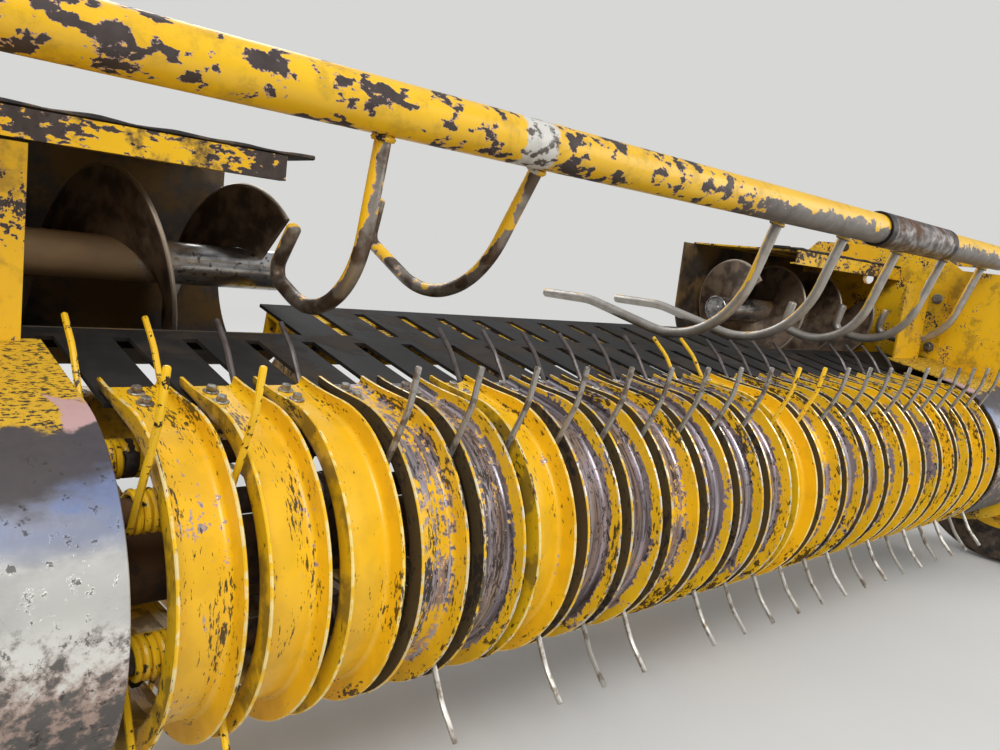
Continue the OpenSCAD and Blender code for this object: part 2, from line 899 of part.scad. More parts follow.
// Tyre section: beads, bulged walls with round shoulders, flat tread and the hollow inside
module tyre() {
    r = tyre_d / 2;
    translate([wheel_x, wheel_y, wheel_z]) turned() difference() {
        union() {
            translate([bead_r, -bead_w / 2]) square([r - shoulder_r - bead_r, bead_w]);
            translate([rim_d / 2 + 6, -tyre_w / 2])
                square([r - shoulder_r - rim_d / 2 - 6, tyre_w]);
            translate([r - shoulder_r, -tread_w / 2]) square([shoulder_r, tread_w]);
            for (s = [-1, 1]) translate([r - shoulder_r, s * (tyre_w / 2 - shoulder_r)])
                circle(r = shoulder_r);
        }
        translate([bead_r - 1, -bead_w / 2 + tyre_wall])
            square([r - bead_r - tyre_wall, bead_w - 2 * tyre_wall]);
    }
}

// Rim section: barrel with its two flanges, dish and hub
module rim() {
    outer = bead_r - seat;
    inner = outer - rim_t;
    flange_x = bead_w / 2 + seat;
    translate([wheel_x, wheel_y, wheel_z]) turned() {
        translate([inner, -flange_x - flange_w]) square([rim_t, 2 * (flange_x + flange_w)]);
        for (x = [-flange_x - flange_w, flange_x])
            translate([inner, x]) square([rim_d / 2 - inner, flange_w]);
        translate([hub_r - 1, -dish_t]) square([inner - hub_r + 2, dish_t]);
        translate([axle_d / 2 + running, -hub_w / 2])
            square([hub_r - axle_d / 2 - running, hub_w]);
    }
}

module tyre_left() {
    color("#232120") at_reel() on_side(-1) tyre();
}

module tyre_right() {
    color("#232120") at_reel() tyre();
}

module rim_left() {
    color(yellow) at_reel() on_side(-1) rim();
}

module rim_right() {
    color(yellow) at_reel() rim();
}

side_wall_left();
side_wall_right();
rear_beam();
bottom_rail();
floor_ribs();
floor_cross_front();
floor_cross_rear();
comb_floor();
bands_left();
bands_middle();
bands_right();
end_cover_left();
end_cover_right();
trough_left();
trough_right();
hood_left();
hood_right();
flap_left();
flap_right();
inner_guard_left();
inner_guard_right();
bearings();
chain_guard();
wheel_arm_left();
wheel_arm_right();
reel_shaft();
reel_spiders();
tine_bars();
tines_low_front();
tines_top_front();
tines_top_rear();
tines_rear();
tines_bottom();
auger_tube_left();
auger_tube_right();
auger_flight_left();
auger_flight_right();
guard_tube();
guard_sleeve();
guard_arms();
guard_rods();
tyre_left();
tyre_right();
rim_left();
rim_right();
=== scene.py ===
import json
import math
import random
import bpy
import bmesh
from mathutils import Matrix, Vector

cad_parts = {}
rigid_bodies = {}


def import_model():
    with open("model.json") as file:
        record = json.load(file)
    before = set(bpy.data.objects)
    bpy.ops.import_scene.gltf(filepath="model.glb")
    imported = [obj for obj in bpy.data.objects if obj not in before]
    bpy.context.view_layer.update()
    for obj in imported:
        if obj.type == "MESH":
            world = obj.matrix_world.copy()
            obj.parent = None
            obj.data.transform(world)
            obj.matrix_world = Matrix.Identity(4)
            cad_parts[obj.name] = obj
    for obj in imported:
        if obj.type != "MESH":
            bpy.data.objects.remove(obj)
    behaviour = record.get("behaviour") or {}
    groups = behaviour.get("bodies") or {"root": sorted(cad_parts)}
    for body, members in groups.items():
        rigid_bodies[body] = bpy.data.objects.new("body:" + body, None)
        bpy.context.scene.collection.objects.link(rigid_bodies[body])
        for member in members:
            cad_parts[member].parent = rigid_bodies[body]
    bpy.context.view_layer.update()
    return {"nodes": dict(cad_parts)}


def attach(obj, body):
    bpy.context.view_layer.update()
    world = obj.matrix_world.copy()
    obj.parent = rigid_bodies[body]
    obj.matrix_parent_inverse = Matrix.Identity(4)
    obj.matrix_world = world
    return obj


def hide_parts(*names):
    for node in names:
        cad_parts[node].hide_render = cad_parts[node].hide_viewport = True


# Pickup unit of a round baler: worn bands, spring tines, augers, wind guard, gauge wheels
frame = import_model()
scene = bpy.context.scene
scene.view_settings.view_transform = "Standard"
nodes = frame["nodes"]
print("frame loaded:", len(nodes), "nodes")

# Shared places in the part's frame, metres
reelY, reelZ = -0.430, -0.090
pitch, bandCount = 0.066, 23
floorSlope = math.radians(11.5)
slopeY, slopeZ = math.cos(floorSlope), math.sin(floorSlope)
wallIn, wallOut = 0.983, 0.989
augerFromReel = (0.315, 0.225)
augerY, augerZ = reelY + augerFromReel[0], reelZ + augerFromReel[1]
seatGap, edgeRound = 0.0003, 0.0008
sharpAngle = math.radians(32)
bothSides = {"Left": -1, "Right": 1}


def linear(hexText):
    channels = [int(hexText[i:i + 2], 16) / 255 for i in (1, 3, 5)]
    return [c / 12.92 if c <= 0.04045 else ((c + 0.055) / 1.055) ** 2.4 for c in channels] + [1]


def addNode(tree, kind, inputs=None, **settings):
    made = tree.nodes.new(kind)
    for name, value in settings.items():
        setattr(made, name, value)
    for key, value in (inputs or {}).items():
        if isinstance(value, bpy.types.NodeSocket):
            tree.links.new(value, made.inputs[key])
        else:
            made.inputs[key].default_value = value
    return made


# Finishes

def newFinish(name, surfaceValues=None):
    material = bpy.data.materials.new(name)
    material.use_nodes = True
    tree = material.node_tree
    tree.nodes.clear()
    surface = addNode(tree, "ShaderNodeBsdfPrincipled", surfaceValues)
    addNode(tree, "ShaderNodeOutputMaterial", {"Surface": surface.outputs["BSDF"]})
    place = addNode(tree, "ShaderNodeTexCoord")
    return material, surface, place.outputs["Object"]


def cloud(place, size, stretch=(1, 1, 1), seed=0.0, detail=4.0, rough=0.55):
    # Cloudy pattern with features about size metres across
    moved = addNode(place.id_data, "ShaderNodeMapping", {
        "Vector": place, "Scale": stretch, "Location": (seed, seed * 0.7, seed * 1.3)})
    return addNode(place.id_data, "ShaderNodeTexNoise", {
        "Vector": moved.outputs["Vector"], "Scale": 1 / size, "Detail": detail,
        "Roughness": rough}).outputs["Fac"]


def reckon(operation, *values):
    tree = next(value.id_data for value in values if isinstance(value, bpy.types.NodeSocket))
    return addNode(tree, "ShaderNodeMath", dict(enumerate(values)),
                   operation=operation).outputs["Value"]


def times(value, factor):
    return reckon("MULTIPLY", value, factor)


def timesPlus(value, factor, extra):
    return reckon("MULTIPLY_ADD", value, factor, extra)


def opposite(value):
    return reckon("SUBTRACT", 1.0, value)


def above(value, level, soft=0.01, high=1.0):
    # 0 below the level and high above it, with a soft edge
    return addNode(value.id_data, "ShaderNodeMapRange", {
        "Value": value, "From Min": level - soft, "From Max": level + soft,
        "To Max": high}, interpolation_type="SMOOTHSTEP").outputs["Result"]


def within(value, low, high, soft=0.002):
    # 1 between low and high, 0 outside
    return times(above(value, low, soft), opposite(above(value, high, soft)))


def layer(under, top, share):
    # Colour top laid over colour under, each a hex text or a socket
    under, top = (linear(c) if isinstance(c, str) else c for c in (under, top))
    return addNode(share.id_data, "ShaderNodeMix", {0: share, 6: under, 7: top},
                   data_type="RGBA").outputs[2]


def coats(colour, *tops):
    # Colours laid one over the other, each with its share
    for top, share in tops:
        colour = layer(colour, top, share)
    return colour


def axes(vector):
    return addNode(vector.id_data, "ShaderNodeSeparateXYZ", {"Vector": vector}).outputs


def stripAxes(place):
    return axes(addNode(place.id_data, "ShaderNodeUVMap", uv_map="strip").outputs["UV"])


def meshFact(place, name):
    return addNode(place.id_data, "ShaderNodeAttribute", attribute_name=name).outputs["Fac"]


def facing(place):
    return axes(place.node.outputs["Normal"])


def join(surface, **sockets):
    for name, value in sockets.items():
        surface.id_data.links.new(value, surface.inputs[name.replace("_", " ")])


def relief(surface, height, depth, strength=0.6):
    bump = addNode(surface.id_data, "ShaderNodeBump", {
        "Height": height, "Distance": depth, "Strength": strength})
    join(surface, Normal=bump.outputs["Normal"])


yellowTones = {"fresh": "#f3c31c", "deep": "#dba611", "primer": "#ad8f93", "steel": "#574c49",
               "dirt": "#3a2d22"}


def chippedEnamel(name, level, chipSize, patchSize, grime, stretch=(1, 1, 1), seed=1.0,
                  rubbed=None, barePast=None):
    # Two-coat enamel sprayed on steel: bright and smooth, with flakes off to primer and steel
    material, surface, place = newFinish(name, {"IOR": 1.5})
    patches = cloud(place, patchSize, stretch, seed)
    flakes = cloud(place, chipSize, stretch, seed + 3, 5, 0.6)
    field = timesPlus(patches, 0.5, times(flakes, 0.5))
    if barePast:
        # Past this place along X the paint is off the lower side
        down = timesPlus(facing(place)["Z"], -0.26, 0.07)
        past = above(axes(place)["X"], barePast, 0.15)
        field = timesPlus(past, down, field)
    bare = above(field, level, 0.006)
    fringe = above(field, level - 0.008, 0.006)
    tone = layer(yellowTones["fresh"], yellowTones["deep"], cloud(place, 0.11, seed=seed + 5))
    dirt = above(cloud(place, 0.035, seed=seed + 7, detail=7, rough=0.65), 0.58, 0.08, grime)
    steel = layer(yellowTones["steel"], "#2c2421", cloud(place, 0.012, seed=seed + 9))
    if barePast:
        steel = layer(steel, layer("#96918b", "#57504b", flakes), past)
    colour = coats(tone, (yellowTones["primer"], fringe), (steel, bare))
    if rubbed:
        # Belt along X rubbed down to pale metal
        belt = within(timesPlus(flakes, 0.02, axes(place)["X"]), rubbed[0] + 0.01, rubbed[1] + 0.01)
        pale = layer("#cbc8c0", "#5f5751", above(flakes, 0.55, 0.03))
        colour = layer(colour, pale, belt)
    colour = layer(colour, yellowTones["dirt"], dirt)
    gloss = timesPlus(dirt, 0.45, timesPlus(bare, 0.2, 0.34))
    join(surface, Base_Color=colour, Roughness=gloss, Metallic=times(bare, 0.4))
    relief(surface, timesPlus(bare, -1.0, dirt), 0.0006)
    return material


def bandEnamel():
    # Paint on the lips, streaky rubbed steel along the channel
    material, surface, place = newFinish("wornBandEnamel", {"IOR": 1.5})
    along, across = stripAxes(place)[:2]
    worn = meshFact(place, "wear")
    side = reckon("ADD", across, axes(place)["X"])
    flow = addNode(place.id_data, "ShaderNodeCombineXYZ", {"X": along, "Y": side}).outputs["Vector"]
    streaks = cloud(flow, 0.02, (0.16, 2.4, 1), 2.0, 5, 0.6)
    patches = cloud(place, 0.055, seed=4.0)
    flakes = cloud(place, 0.006, (1, 1, 1), 8.0, 5, 0.62)
    field = timesPlus(patches, 0.42, timesPlus(streaks, 0.26, times(flakes, 0.32)))
    offMiddle = reckon("ABSOLUTE", across)
    channel = above(offMiddle, 0.027, 0.006)
    level = timesPlus(worn, -0.3, 0.65)
    level = timesPlus(channel, times(worn, 0.21), level)
    over = reckon("SUBTRACT", field, level)
    bare = above(over, 0.0, 0.006)
    fringe = above(over, -0.012, 0.006)
    # Crest of each lip: a thin pale line, partly the edge rubbed bare, partly a painted highlight
    crest = within(offMiddle, 0.0394, 0.0432, 0.0003)
    rubbed = times(crest, above(cloud(place, 0.014, seed=3.0), 0.5, 0.05))
    tone = layer("#f5c51c", "#e0aa12", cloud(place, 0.09, seed=6.0))
    lilac = above(cloud(flow, 0.03, (0.3, 1.5, 1), 31.0, 4), 0.55, 0.05, 0.55)
    spots = above(cloud(place, 0.009, seed=11.0, detail=6, rough=0.7), 0.63, 0.03)
    steel = coats("#554b4f", ("#b3acb4", above(streaks, 0.49, 0.13)), ("#c0aeb2", lilac),
                  ("#241c18", spots))
    # Outer faces of the lips darkened, more on worn bands: partly caked dirt, partly painted shade of
    # the narrow gaps between the bands; a thin dirt film elsewhere
    outer = above(offMiddle, 0.0434, 0.0005)
    film = cloud(place, 0.03, seed=13.0, detail=6)
    caked = times(outer, above(timesPlus(film, 0.6, worn), 0.62, 0.08))
    dirt = reckon("MAXIMUM", times(caked, 0.94),
                  times(above(film, 0.52, 0.08), timesPlus(outer, 0.5, 0.1)))
    # Small dark nicks in clusters, thickest at the rear end of the top run
    scratch = cloud(flow, 0.0055, (0.7, 1.5, 1), 21.0, 5, 0.65)
    cluster = cloud(flow, 0.045, (0.5, 1, 1), 17.0, 3)
    rear = above(times(along, -1.0), -0.095, 0.03)
    nickLevel = timesPlus(reckon("MINIMUM", worn, 0.3), -0.13, timesPlus(rear, -0.02, 0.602))
    nickField = timesPlus(cluster, 0.4, times(scratch, 0.6))
    nicks = above(reckon("SUBTRACT", nickField, nickLevel), 0.0, 0.006, 0.92)
    # Coats: primer fringe, bare steel, the pale crest line (rubbed edge with painted highlight), dirt
    # that on the lips' outer faces is partly painted gap shade, and nicks
    colour = coats(tone, ("#b3989b", fringe), (steel, bare),
                   (layer("#efd684", "#d3cdc4", worn), rubbed), ("#33281f", dirt), ("#2a2019", nicks))
    metal = times(reckon("MAXIMUM", bare, times(rubbed, worn)), timesPlus(nicks, -0.7, 0.75))
    join(surface, Base_Color=colour, Metallic=metal,
         Roughness=timesPlus(dirt, 0.5, timesPlus(spots, 0.2, 0.32)))
    relief(surface, timesPlus(bare, -1.0, times(streaks, 0.5)), 0.0004)
    return material


def bareSteel(name, light, dark, metallic, roughness, grainSize, rust, rustColour="#5a3a22",
              seed=1.0, darkPast=None):
    # Uncoated mild steel: grey where it is rubbed, brown where it has started to rust
    material, surface, place = newFinish(name)
    mottle = cloud(place, grainSize, seed=seed, detail=6, rough=0.6)
    stain = above(cloud(place, grainSize * 2.5, seed=seed + 2, detail=7, rough=0.65),
                  0.62 - 0.16 * rust, 0.07)
    colour = coats(light, (dark, above(mottle, 0.5, 0.12)), (rustColour, stain))
    if darkPast:
        # Dark ends of a piece that lies along X
        middle = within(axes(place)["X"], *darkPast, 0.0008)
        colour = layer("#2b2625", colour, middle)
    join(surface, Base_Color=colour, Metallic=timesPlus(stain, -0.8 * metallic, metallic),
         Roughness=timesPlus(stain, 0.4, roughness))
    relief(surface, reckon("ADD", mottle, stain), 0.0004, 0.5)
    return material


def coverSteel():
    # Drum end cover: old paint on top, a dirty belt, a blue band of painted sky reflection, then
    # polished sheet steel
    material, surface, place = newFinish("polishedCoverSteel")
    where = axes(place)
    up = reckon("SUBTRACT", where["Z"], reelZ)
    reach = reckon("ABSOLUTE", where["X"])
    ragged = cloud(place, 0.05, seed=2.0, detail=6)
    smear = cloud(place, 0.045, (0.6, 1, 1), 7.0, 7, 0.62)
    mottle = cloud(place, 0.012, seed=12.0, detail=6, rough=0.68)
    edge = timesPlus(ragged, 0.04, up)
    paint = above(edge, 0.1455, 0.0015)
    level = timesPlus(smear, 0.06, up)
    sooty = above(level, 0.124, 0.012, 0.93)
    # Blue band under the dirty belt: painted reflection of the sky on the polished steel
    paintedSkyReflection = above(level, 0.100, 0.012)
    stained = above(timesPlus(mottle, 0.17, times(up, -1.0)), 0.082, 0.02, 0.9)
    spots = above(cloud(place, 0.01, seed=9.0, detail=6, rough=0.7), 0.61, 0.03, 0.8)
    stain = layer("#9c8172", "#332b27", above(timesPlus(up, -1.6, mottle), 0.53, 0.08))
    colour = coats("#dddbd4", ("#7f8db3", paintedSkyReflection), ("#a9a6a4", above(smear, 0.5, 0.1, 0.5)),
                   (stain, stained), (layer("#463b35", "#231d1a", mottle), sooty), ("#2b2420", spots))
    # Coat of paint: dark dashes all over and a patch of primer at the corner next to the bands
    chips = above(cloud(place, 0.0055, (1, 1.8, 1), 5.0, 5, 0.65), 0.545, 0.02)
    corner = above(timesPlus(ragged, 0.05, times(reach, -1.0)), -0.781, 0.002)
    corner = times(corner, opposite(above(edge, 0.163, 0.002)))
    coat = coats("#dfb01a", ("#b58f1c", smear), ("#2e2519", chips), ("#b59392", corner))
    colour = layer(colour, coat, paint)
    dull = reckon("MAXIMUM", reckon("MAXIMUM", stained, sooty), reckon("MAXIMUM", spots, paint))
    join(surface, Base_Color=colour, Metallic=timesPlus(dull, -0.6, 0.62),
         Roughness=timesPlus(dull, 0.35, 0.32))
    relief(surface, reckon("ADD", mottle, spots), 0.0005, 0.5)
    return material


def springFinish():
    # Drawn spring wire: grey and rubbed bright at the tip, brown at the coil, some still painted
    material, surface, place = newFinish("tineSpringSteel")
    along = stripAxes(place)["X"]
    painted, grime = meshFact(place, "painted"), meshFact(place, "grime")
    mottle = cloud(place, 0.012, seed=3.0, detail=6)
    root = above(timesPlus(mottle, -0.05, along), 0.0, 0.035)
    wire = coats("#4a3d31", ("#b0aca4", root), ("#6d5c4a", above(mottle, 0.56, 0.06, 0.8)),
                 ("#43393a", grime))
    chips = above(cloud(place, 0.006, seed=6.0, detail=5, rough=0.6), 0.6, 0.02)
    paint = layer("#eebc1c", "#3a2f24", chips)
    coat = times(painted, opposite(chips))
    clean = times(root, timesPlus(grime, -0.7, 1.0))
    join(surface, Base_Color=layer(wire, paint, painted),
         Metallic=times(clean, timesPlus(coat, -0.8, 0.8)), Roughness=timesPlus(mottle, 0.3, 0.24))
    relief(surface, mottle, 0.0003, 0.4)
    return material


def rodFinish():
    # Round bar of the wind guard: enamel left on its sheltered side, the rest worn bare
    material, surface, place = newFinish("wornRodEnamel")
    side = facing(place)
    where = axes(place)
    patches = cloud(place, 0.03, seed=2.0, detail=6)
    field = timesPlus(side["Y"], -0.28, timesPlus(side["Z"], -0.16, patches))
    farSide = above(where["X"], 0.1, 0.05)
    field = timesPlus(farSide, 0.14, field)
    low = above(times(where["Z"], -1.0), -0.155, 0.03)
    field = timesPlus(low, 0.2, field)
    # Near the tube the left rods keep their paint
    kept = times(above(where["Z"], 0.205, 0.03), opposite(farSide))
    field = timesPlus(kept, -0.17, field)
    bare = above(field, 0.55, 0.015)
    fringe = above(field, 0.53, 0.015)
    steel = coats("#8e867c", ("#5c4c3e", above(patches, 0.53, 0.08)), ("#c2beb6", times(farSide, 0.55)))
    colour = coats("#ecb81c", ("#9d8287", fringe), (steel, bare))
    join(surface, Base_Color=colour, Metallic=times(bare, 0.6), Roughness=timesPlus(patches, 0.2, 0.3))
    relief(surface, timesPlus(bare, -1.0, patches), 0.0004, 0.5)
    return material


def augerTubeSteel():
    # Auger tube: polished at its inner end, rusty and caked further out
    material, surface, place = newFinish("augerTubeSteel")
    reach = reckon("ABSOLUTE", axes(place)["X"])
    mottle = cloud(place, 0.02, (0.4, 1, 1), 3.0, 6, 0.62)
    caked = above(timesPlus(mottle, 0.2, reach), 0.71, 0.03)
    flecks = above(cloud(place, 0.006, seed=8.0, detail=5), 0.62, 0.02, 0.8)
    colour = coats("#b9b8b6", ("#7f7c7a", above(mottle, 0.52, 0.1)), ("#3b302a", flecks),
                   (layer("#a98a60", "#6b5640", mottle), caked))
    join(surface, Base_Color=colour, Metallic=timesPlus(caked, -0.8, 0.95),
         Roughness=timesPlus(caked, 0.45, 0.24))
    relief(surface, mottle, 0.0005, 0.5)
    return material


def flightSteel():
    # Rolled flighting: brown mill scale with a rim worn bright
    material, surface, place = newFinish("augerFlightSteel")
    where = axes(place)
    offY, offZ = reckon("SUBTRACT", where["Y"], augerY), reckon("SUBTRACT", where["Z"], augerZ)
    off = reckon("SQRT", reckon("ADD", reckon("POWER", offY, 2.0), reckon("POWER", offZ, 2.0)))
    mottle = cloud(place, 0.03, seed=2.0, detail=6, rough=0.6)
    rim = above(timesPlus(mottle, 0.01, off), 0.102, 0.002)
    colour = coats("#84705d", ("#4a3c32", above(mottle, 0.5, 0.12)), ("#b3a594", rim))
    join(surface, Base_Color=colour, Metallic=timesPlus(rim, 0.4, 0.4),
         Roughness=timesPlus(mottle, 0.3, 0.3))
    relief(surface, mottle, 0.0006, 0.5)
    return material


def rubber(name, base, dust, dustLevel, seed, grainSize=0.003):
    # Carbon-filled rubber: dull black, grey-brown where dust lies in its grain
    material, surface, place = newFinish(name, {"Roughness": 0.82, "IOR": 1.5})
    grit = cloud(place, grainSize, seed=seed, detail=3)
    film = above(cloud(place, 0.04, seed=seed + 4, detail=7, rough=0.65), dustLevel, 0.1, 0.8)
    join(surface, Base_Color=layer(base, dust, film))
    relief(surface, reckon("ADD", grit, film), 0.0005, 0.5)
    return material


finish = {material.name: material for material in [
    chippedEnamel("wallEnamel", 0.57, 0.004, 0.05, 0.45, seed=2.0),
    chippedEnamel("frameEnamel", 0.57, 0.006, 0.06, 0.7, seed=3.0),
    chippedEnamel("hoodEnamel", 0.52, 0.006, 0.05, 0.9, (0.5, 1, 1), 4.0),
    chippedEnamel("tubeEnamel", 0.545, 0.012, 0.035, 0.25, (0.7, 1, 1), 5.0, (-0.387, -0.342), 0.05),
    chippedEnamel("rimEnamel", 0.56, 0.006, 0.05, 0.7, seed=9.0),
    chippedEnamel("spiderEnamel", 0.53, 0.006, 0.05, 0.9, seed=6.0),
    bandEnamel(), coverSteel(), springFinish(), rodFinish(), augerTubeSteel(), flightSteel(),
    bareSteel("sleeveSteel", "#8f8a85", "#4d443f", 0.7, 0.4, 0.015, 0.4, seed=2.0,
              darkPast=(0.443, 0.682)),
    bareSteel("dirtyFloorSteel", "#1c1917", "#110f0e", 0.1, 0.78, 0.03, 0.4, "#33291f", seed=7.0),
    bareSteel("stainedTroughSteel", "#443a30", "#29221d", 0.2, 0.6, 0.05, 0.7, "#69502a", seed=8.0),
    bareSteel("dirtyReelSteel", "#3b2e25", "#1e1815", 0.3, 0.6, 0.02, 0.7, "#5c4128", seed=9.0),
    bareSteel("castIron", "#4c4846", "#2b2827", 0.4, 0.6, 0.01, 0.4, seed=11.0),
    bareSteel("boltZinc", "#b4b1aa", "#7d7a75", 0.85, 0.35, 0.006, 0.25, seed=12.0),
    rubber("flapRubber", "#1b1918", "#5a4a38", 0.55, 2.0),
    rubber("tyreRubber", "#262220", "#6a5a49", 0.5, 5.0, 0.004)
]}
print("finishes made:", len(finish))

nodeFinish = {
    "wallEnamel": ["side_wall_left", "side_wall_right", "inner_guard_left", "inner_guard_right"],
    "frameEnamel": ["rear_beam", "bottom_rail", "floor_ribs", "floor_cross_front", "floor_cross_rear",
                    "chain_guard", "wheel_arm_left", "wheel_arm_right"],
    "hoodEnamel": ["hood_left", "hood_right"],
    "tubeEnamel": ["guard_arms", "guard_tube"],
    "spiderEnamel": ["reel_spiders"],
    "dirtyFloorSteel": ["comb_floor"],
    "stainedTroughSteel": ["trough_left", "trough_right"],
    "dirtyReelSteel": ["reel_shaft", "tine_bars"],
    "castIron": ["bearings"]
}
for key, names in nodeFinish.items():
    for name in names:
        nodes[name].data.materials.clear()
        nodes[name].data.materials.append(finish[key])


# Meshes

def ringMesh(name, rings, along, around=None, closedPath=False):
    # Closed rings of points joined one to the next, with a UV map "strip" in metres:
    # X runs along the rings and Y round them
    mesh = bpy.data.meshes.new(name)
    size = len(rings[0])
    around = around or [0.0] * (size + 1)
    faces, uvs = [], []
    last = len(rings) if closedPath else len(rings) - 1
    for i in range(last):
        n = (i + 1) % len(rings)
        for j in range(size):
            k = (j + 1) % size
            faces.append((i * size + j, i * size + k, n * size + k, n * size + j))
            uvs += [(along[i], around[j]), (along[i], around[j + 1]),
                    (along[i + 1], around[j + 1]), (along[i + 1], around[j])]
    if not closedPath:
        for i, order in ((0, range(size - 1, -1, -1)), (len(rings) - 1, range(size))):
            faces.append(tuple(i * size + j for j in order))
            uvs += [(along[i], around[j]) for j in order]
    mesh.from_pydata([tuple(p) for ring in rings for p in ring], [], faces)
    layerMap = mesh.uv_layers.new(name="strip")
    for loop, uv in zip(layerMap.data, uvs):
        loop.uv = uv
    return tidied(mesh)


def tidied(mesh):
    work = bmesh.new()
    work.from_mesh(mesh)
    bmesh.ops.remove_doubles(work, verts=work.verts, dist=1e-6)
    bmesh.ops.recalc_face_normals(work, faces=work.faces)
    for face in work.faces:
        face.smooth = True
    work.to_mesh(mesh)
    work.free()
    mesh.set_sharp_from_angle(angle=sharpAngle)
    return mesh


def newObject(name, data):
    made = bpy.data.objects.new(name, data)
    scene.collection.objects.link(made)
    return made


def shownPiece(name, mesh, body, finishKey=None, replaced=()):
    piece = newObject(name, mesh)
    if finishKey:
        mesh.materials.clear()
        mesh.materials.append(finish[finishKey])
    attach(piece, body)
    if replaced:
        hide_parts(*replaced)


def joined(name, meshes):
    # Several meshes as one
    work = bmesh.new()
    for mesh in meshes:
        work.from_mesh(mesh)
    made = bpy.data.meshes.new(name)
    work.to_mesh(made)
    work.free()
    made.set_sharp_from_angle(angle=sharpAngle)
    return made


def lengthsRound(profile):
    lengths = [0.0]
    for point, following in zip(profile, profile[1:] + profile[:1]):
        lengths.append(lengths[-1] + math.dist(point, following))
    return lengths


def lathe(name, profile, at, segments=64):
    # Profile of (x, radius) turned about an axis along X through at = (y, z)
    turns = [2 * math.pi * i / segments for i in range(segments + 1)]
    rings = [[(x, at[0] + r * math.cos(turn), at[1] + r * math.sin(turn)) for x, r in profile]
             for turn in turns[:-1]]
    reach = max(r for x, r in profile)
    return ringMesh(name, rings, [reach * turn for turn in turns], lengthsRound(profile), True)


def tube(name, path, radius, sides=12):
    # Round bar along points, carried without twist, its ends rounded off
    points = [Vector(p) for p in path]
    tangents = []
    for i in range(len(points)):
        before, after = points[max(i - 1, 0)], points[min(i + 1, len(points) - 1)]
        tangents.append((after - before).normalized())
    side = tangents[0].orthogonal().normalized()
    turns = [2 * math.pi * k / sides for k in range(sides + 1)]
    rings, along = [], [0.0]
    for i, (point, tangent) in enumerate(zip(points, tangents)):
        if i:
            side = tangents[i - 1].rotation_difference(tangent) @ side
            along.append(along[-1] + (point - points[i - 1]).length)
        other = tangent.cross(side)
        rings.append([point + radius * (side * math.cos(a) + other * math.sin(a))
                      for a in turns[:-1]])
    for at, sign in ((0, -1), (-1, 1)):
        ring, centre, tangent = rings[at], points[at], tangents[at]
        for lift, share in ((0.35, 0.8), (0.5, 0.45)):
            extra = [centre + (p - centre) * share + tangent * sign * radius * lift for p in ring]
            rings.insert(0 if at == 0 else len(rings), extra)
            along.insert(0 if at == 0 else len(along), along[at])
    return ringMesh(name, rings, along, [radius * a for a in turns])


def cPath(topRun, bottomRun, radius, steps=44):
    # A band's C: sloped top run, bend round the reel, flat lower run, from the rear top
    stations = []
    for i in range(6):
        run = topRun * (1 - i / 6)
        stations.append((topRun - run, run * slopeY, run * slopeZ, -slopeZ, slopeY))
    start, end = math.radians(90) + floorSlope, math.radians(270)
    for i in range(steps + 1):
        turn = start + (end - start) * i / steps
        stations.append((topRun + radius * (turn - start), 0, 0, math.cos(turn), math.sin(turn)))
    gone = topRun + radius * (end - start)
    for i in range(1, 9):
        run = bottomRun * i / 8
        stations.append((gone + run, run, 0, 0, -1))
    return [(s, y + reelY, z + reelZ, ny, nz) for s, y, z, ny, nz in stations]


boltFacts = {
    # head across flats, head depth, washer thickness
    "clamp": (0.010, 0.0050, 0.0),
    "band": (0.008, 0.0045, 0.0018),
    "wheel": (0.017, 0.0100, 0.0018),
    "frame": (0.013, 0.0080, 0.0018)
}


def boltMesh(kind):
    # Hexagon head with a chamfered crown on a plain washer, standing along Z
    across, depth, washer = boltFacts[kind]
    radius = across / math.sqrt(3)
    stacks = [[(6, radius, washer), (6, radius, washer + depth * 0.82),
               (6, radius * 0.82, washer + depth)]]
    if washer:
        stacks.insert(0, [(16, radius * 1.5, 0.0), (16, radius * 1.5, washer - 0.0004),
                          (16, radius * 1.4, washer)])
    work = bmesh.new()
    for rows in stacks:
        loops = []
        for n, r, z in rows:
            turns = [2 * math.pi * k / n for k in range(n)]
            loops.append([work.verts.new((r * math.cos(a), r * math.sin(a), z)) for a in turns])
        for low, high in zip(loops, loops[1:]):
            for k in range(len(low)):
                n = (k + 1) % len(low)
                work.faces.new((low[k], low[n], high[n], high[k]))
        work.faces.new(loops[-1])
        work.faces.new(list(reversed(loops[0])))
    mesh = bpy.data.meshes.new("bolt")
    work.to_mesh(mesh)
    work.free()
    return mesh


# Geometry Nodes: parts put on places

def placesTree():
    tree = bpy.data.node_groups.new("partsOnPlaces", "GeometryNodeTree")
    for label, data in (("Places", "Geometry"), ("Parts", "Collection"), ("Part Size", "Float"),
                        ("Finish", "Material")):
        tree.interface.new_socket(label, in_out="INPUT", socket_type="NodeSocket" + data)
    tree.interface.new_socket("Places", in_out="OUTPUT", socket_type="NodeSocketGeometry")
    given = addNode(tree, "NodeGroupInput").outputs
    parts = addNode(tree, "GeometryNodeCollectionInfo", {
        "Collection": given["Parts"], "Separate Children": True, "Reset Children": True})
    turn = addNode(tree, "GeometryNodeInputNamedAttribute", {"Name": "turn"}, data_type="FLOAT_VECTOR")
    kind = addNode(tree, "GeometryNodeInputNamedAttribute", {"Name": "kind"}, data_type="INT")
    turned = addNode(tree, "FunctionNodeEulerToRotation", {"Euler": turn.outputs["Attribute"]})
    copies = addNode(tree, "GeometryNodeInstanceOnPoints", {
        "Points": given["Places"], "Instance": parts.outputs["Instances"], "Pick Instance": True,
        "Instance Index": kind.outputs["Attribute"], "Rotation": turned.outputs["Rotation"],
        "Scale": given["Part Size"]})
    real = addNode(tree, "GeometryNodeRealizeInstances", {"Geometry": copies.outputs["Instances"]})
    dressed = addNode(tree, "GeometryNodeSetMaterial", {
        "Geometry": real.outputs["Geometry"], "Material": given["Finish"]})
    addNode(tree, "NodeGroupOutput", {"Places": dressed.outputs["Geometry"]})
    return tree


placer = placesTree()


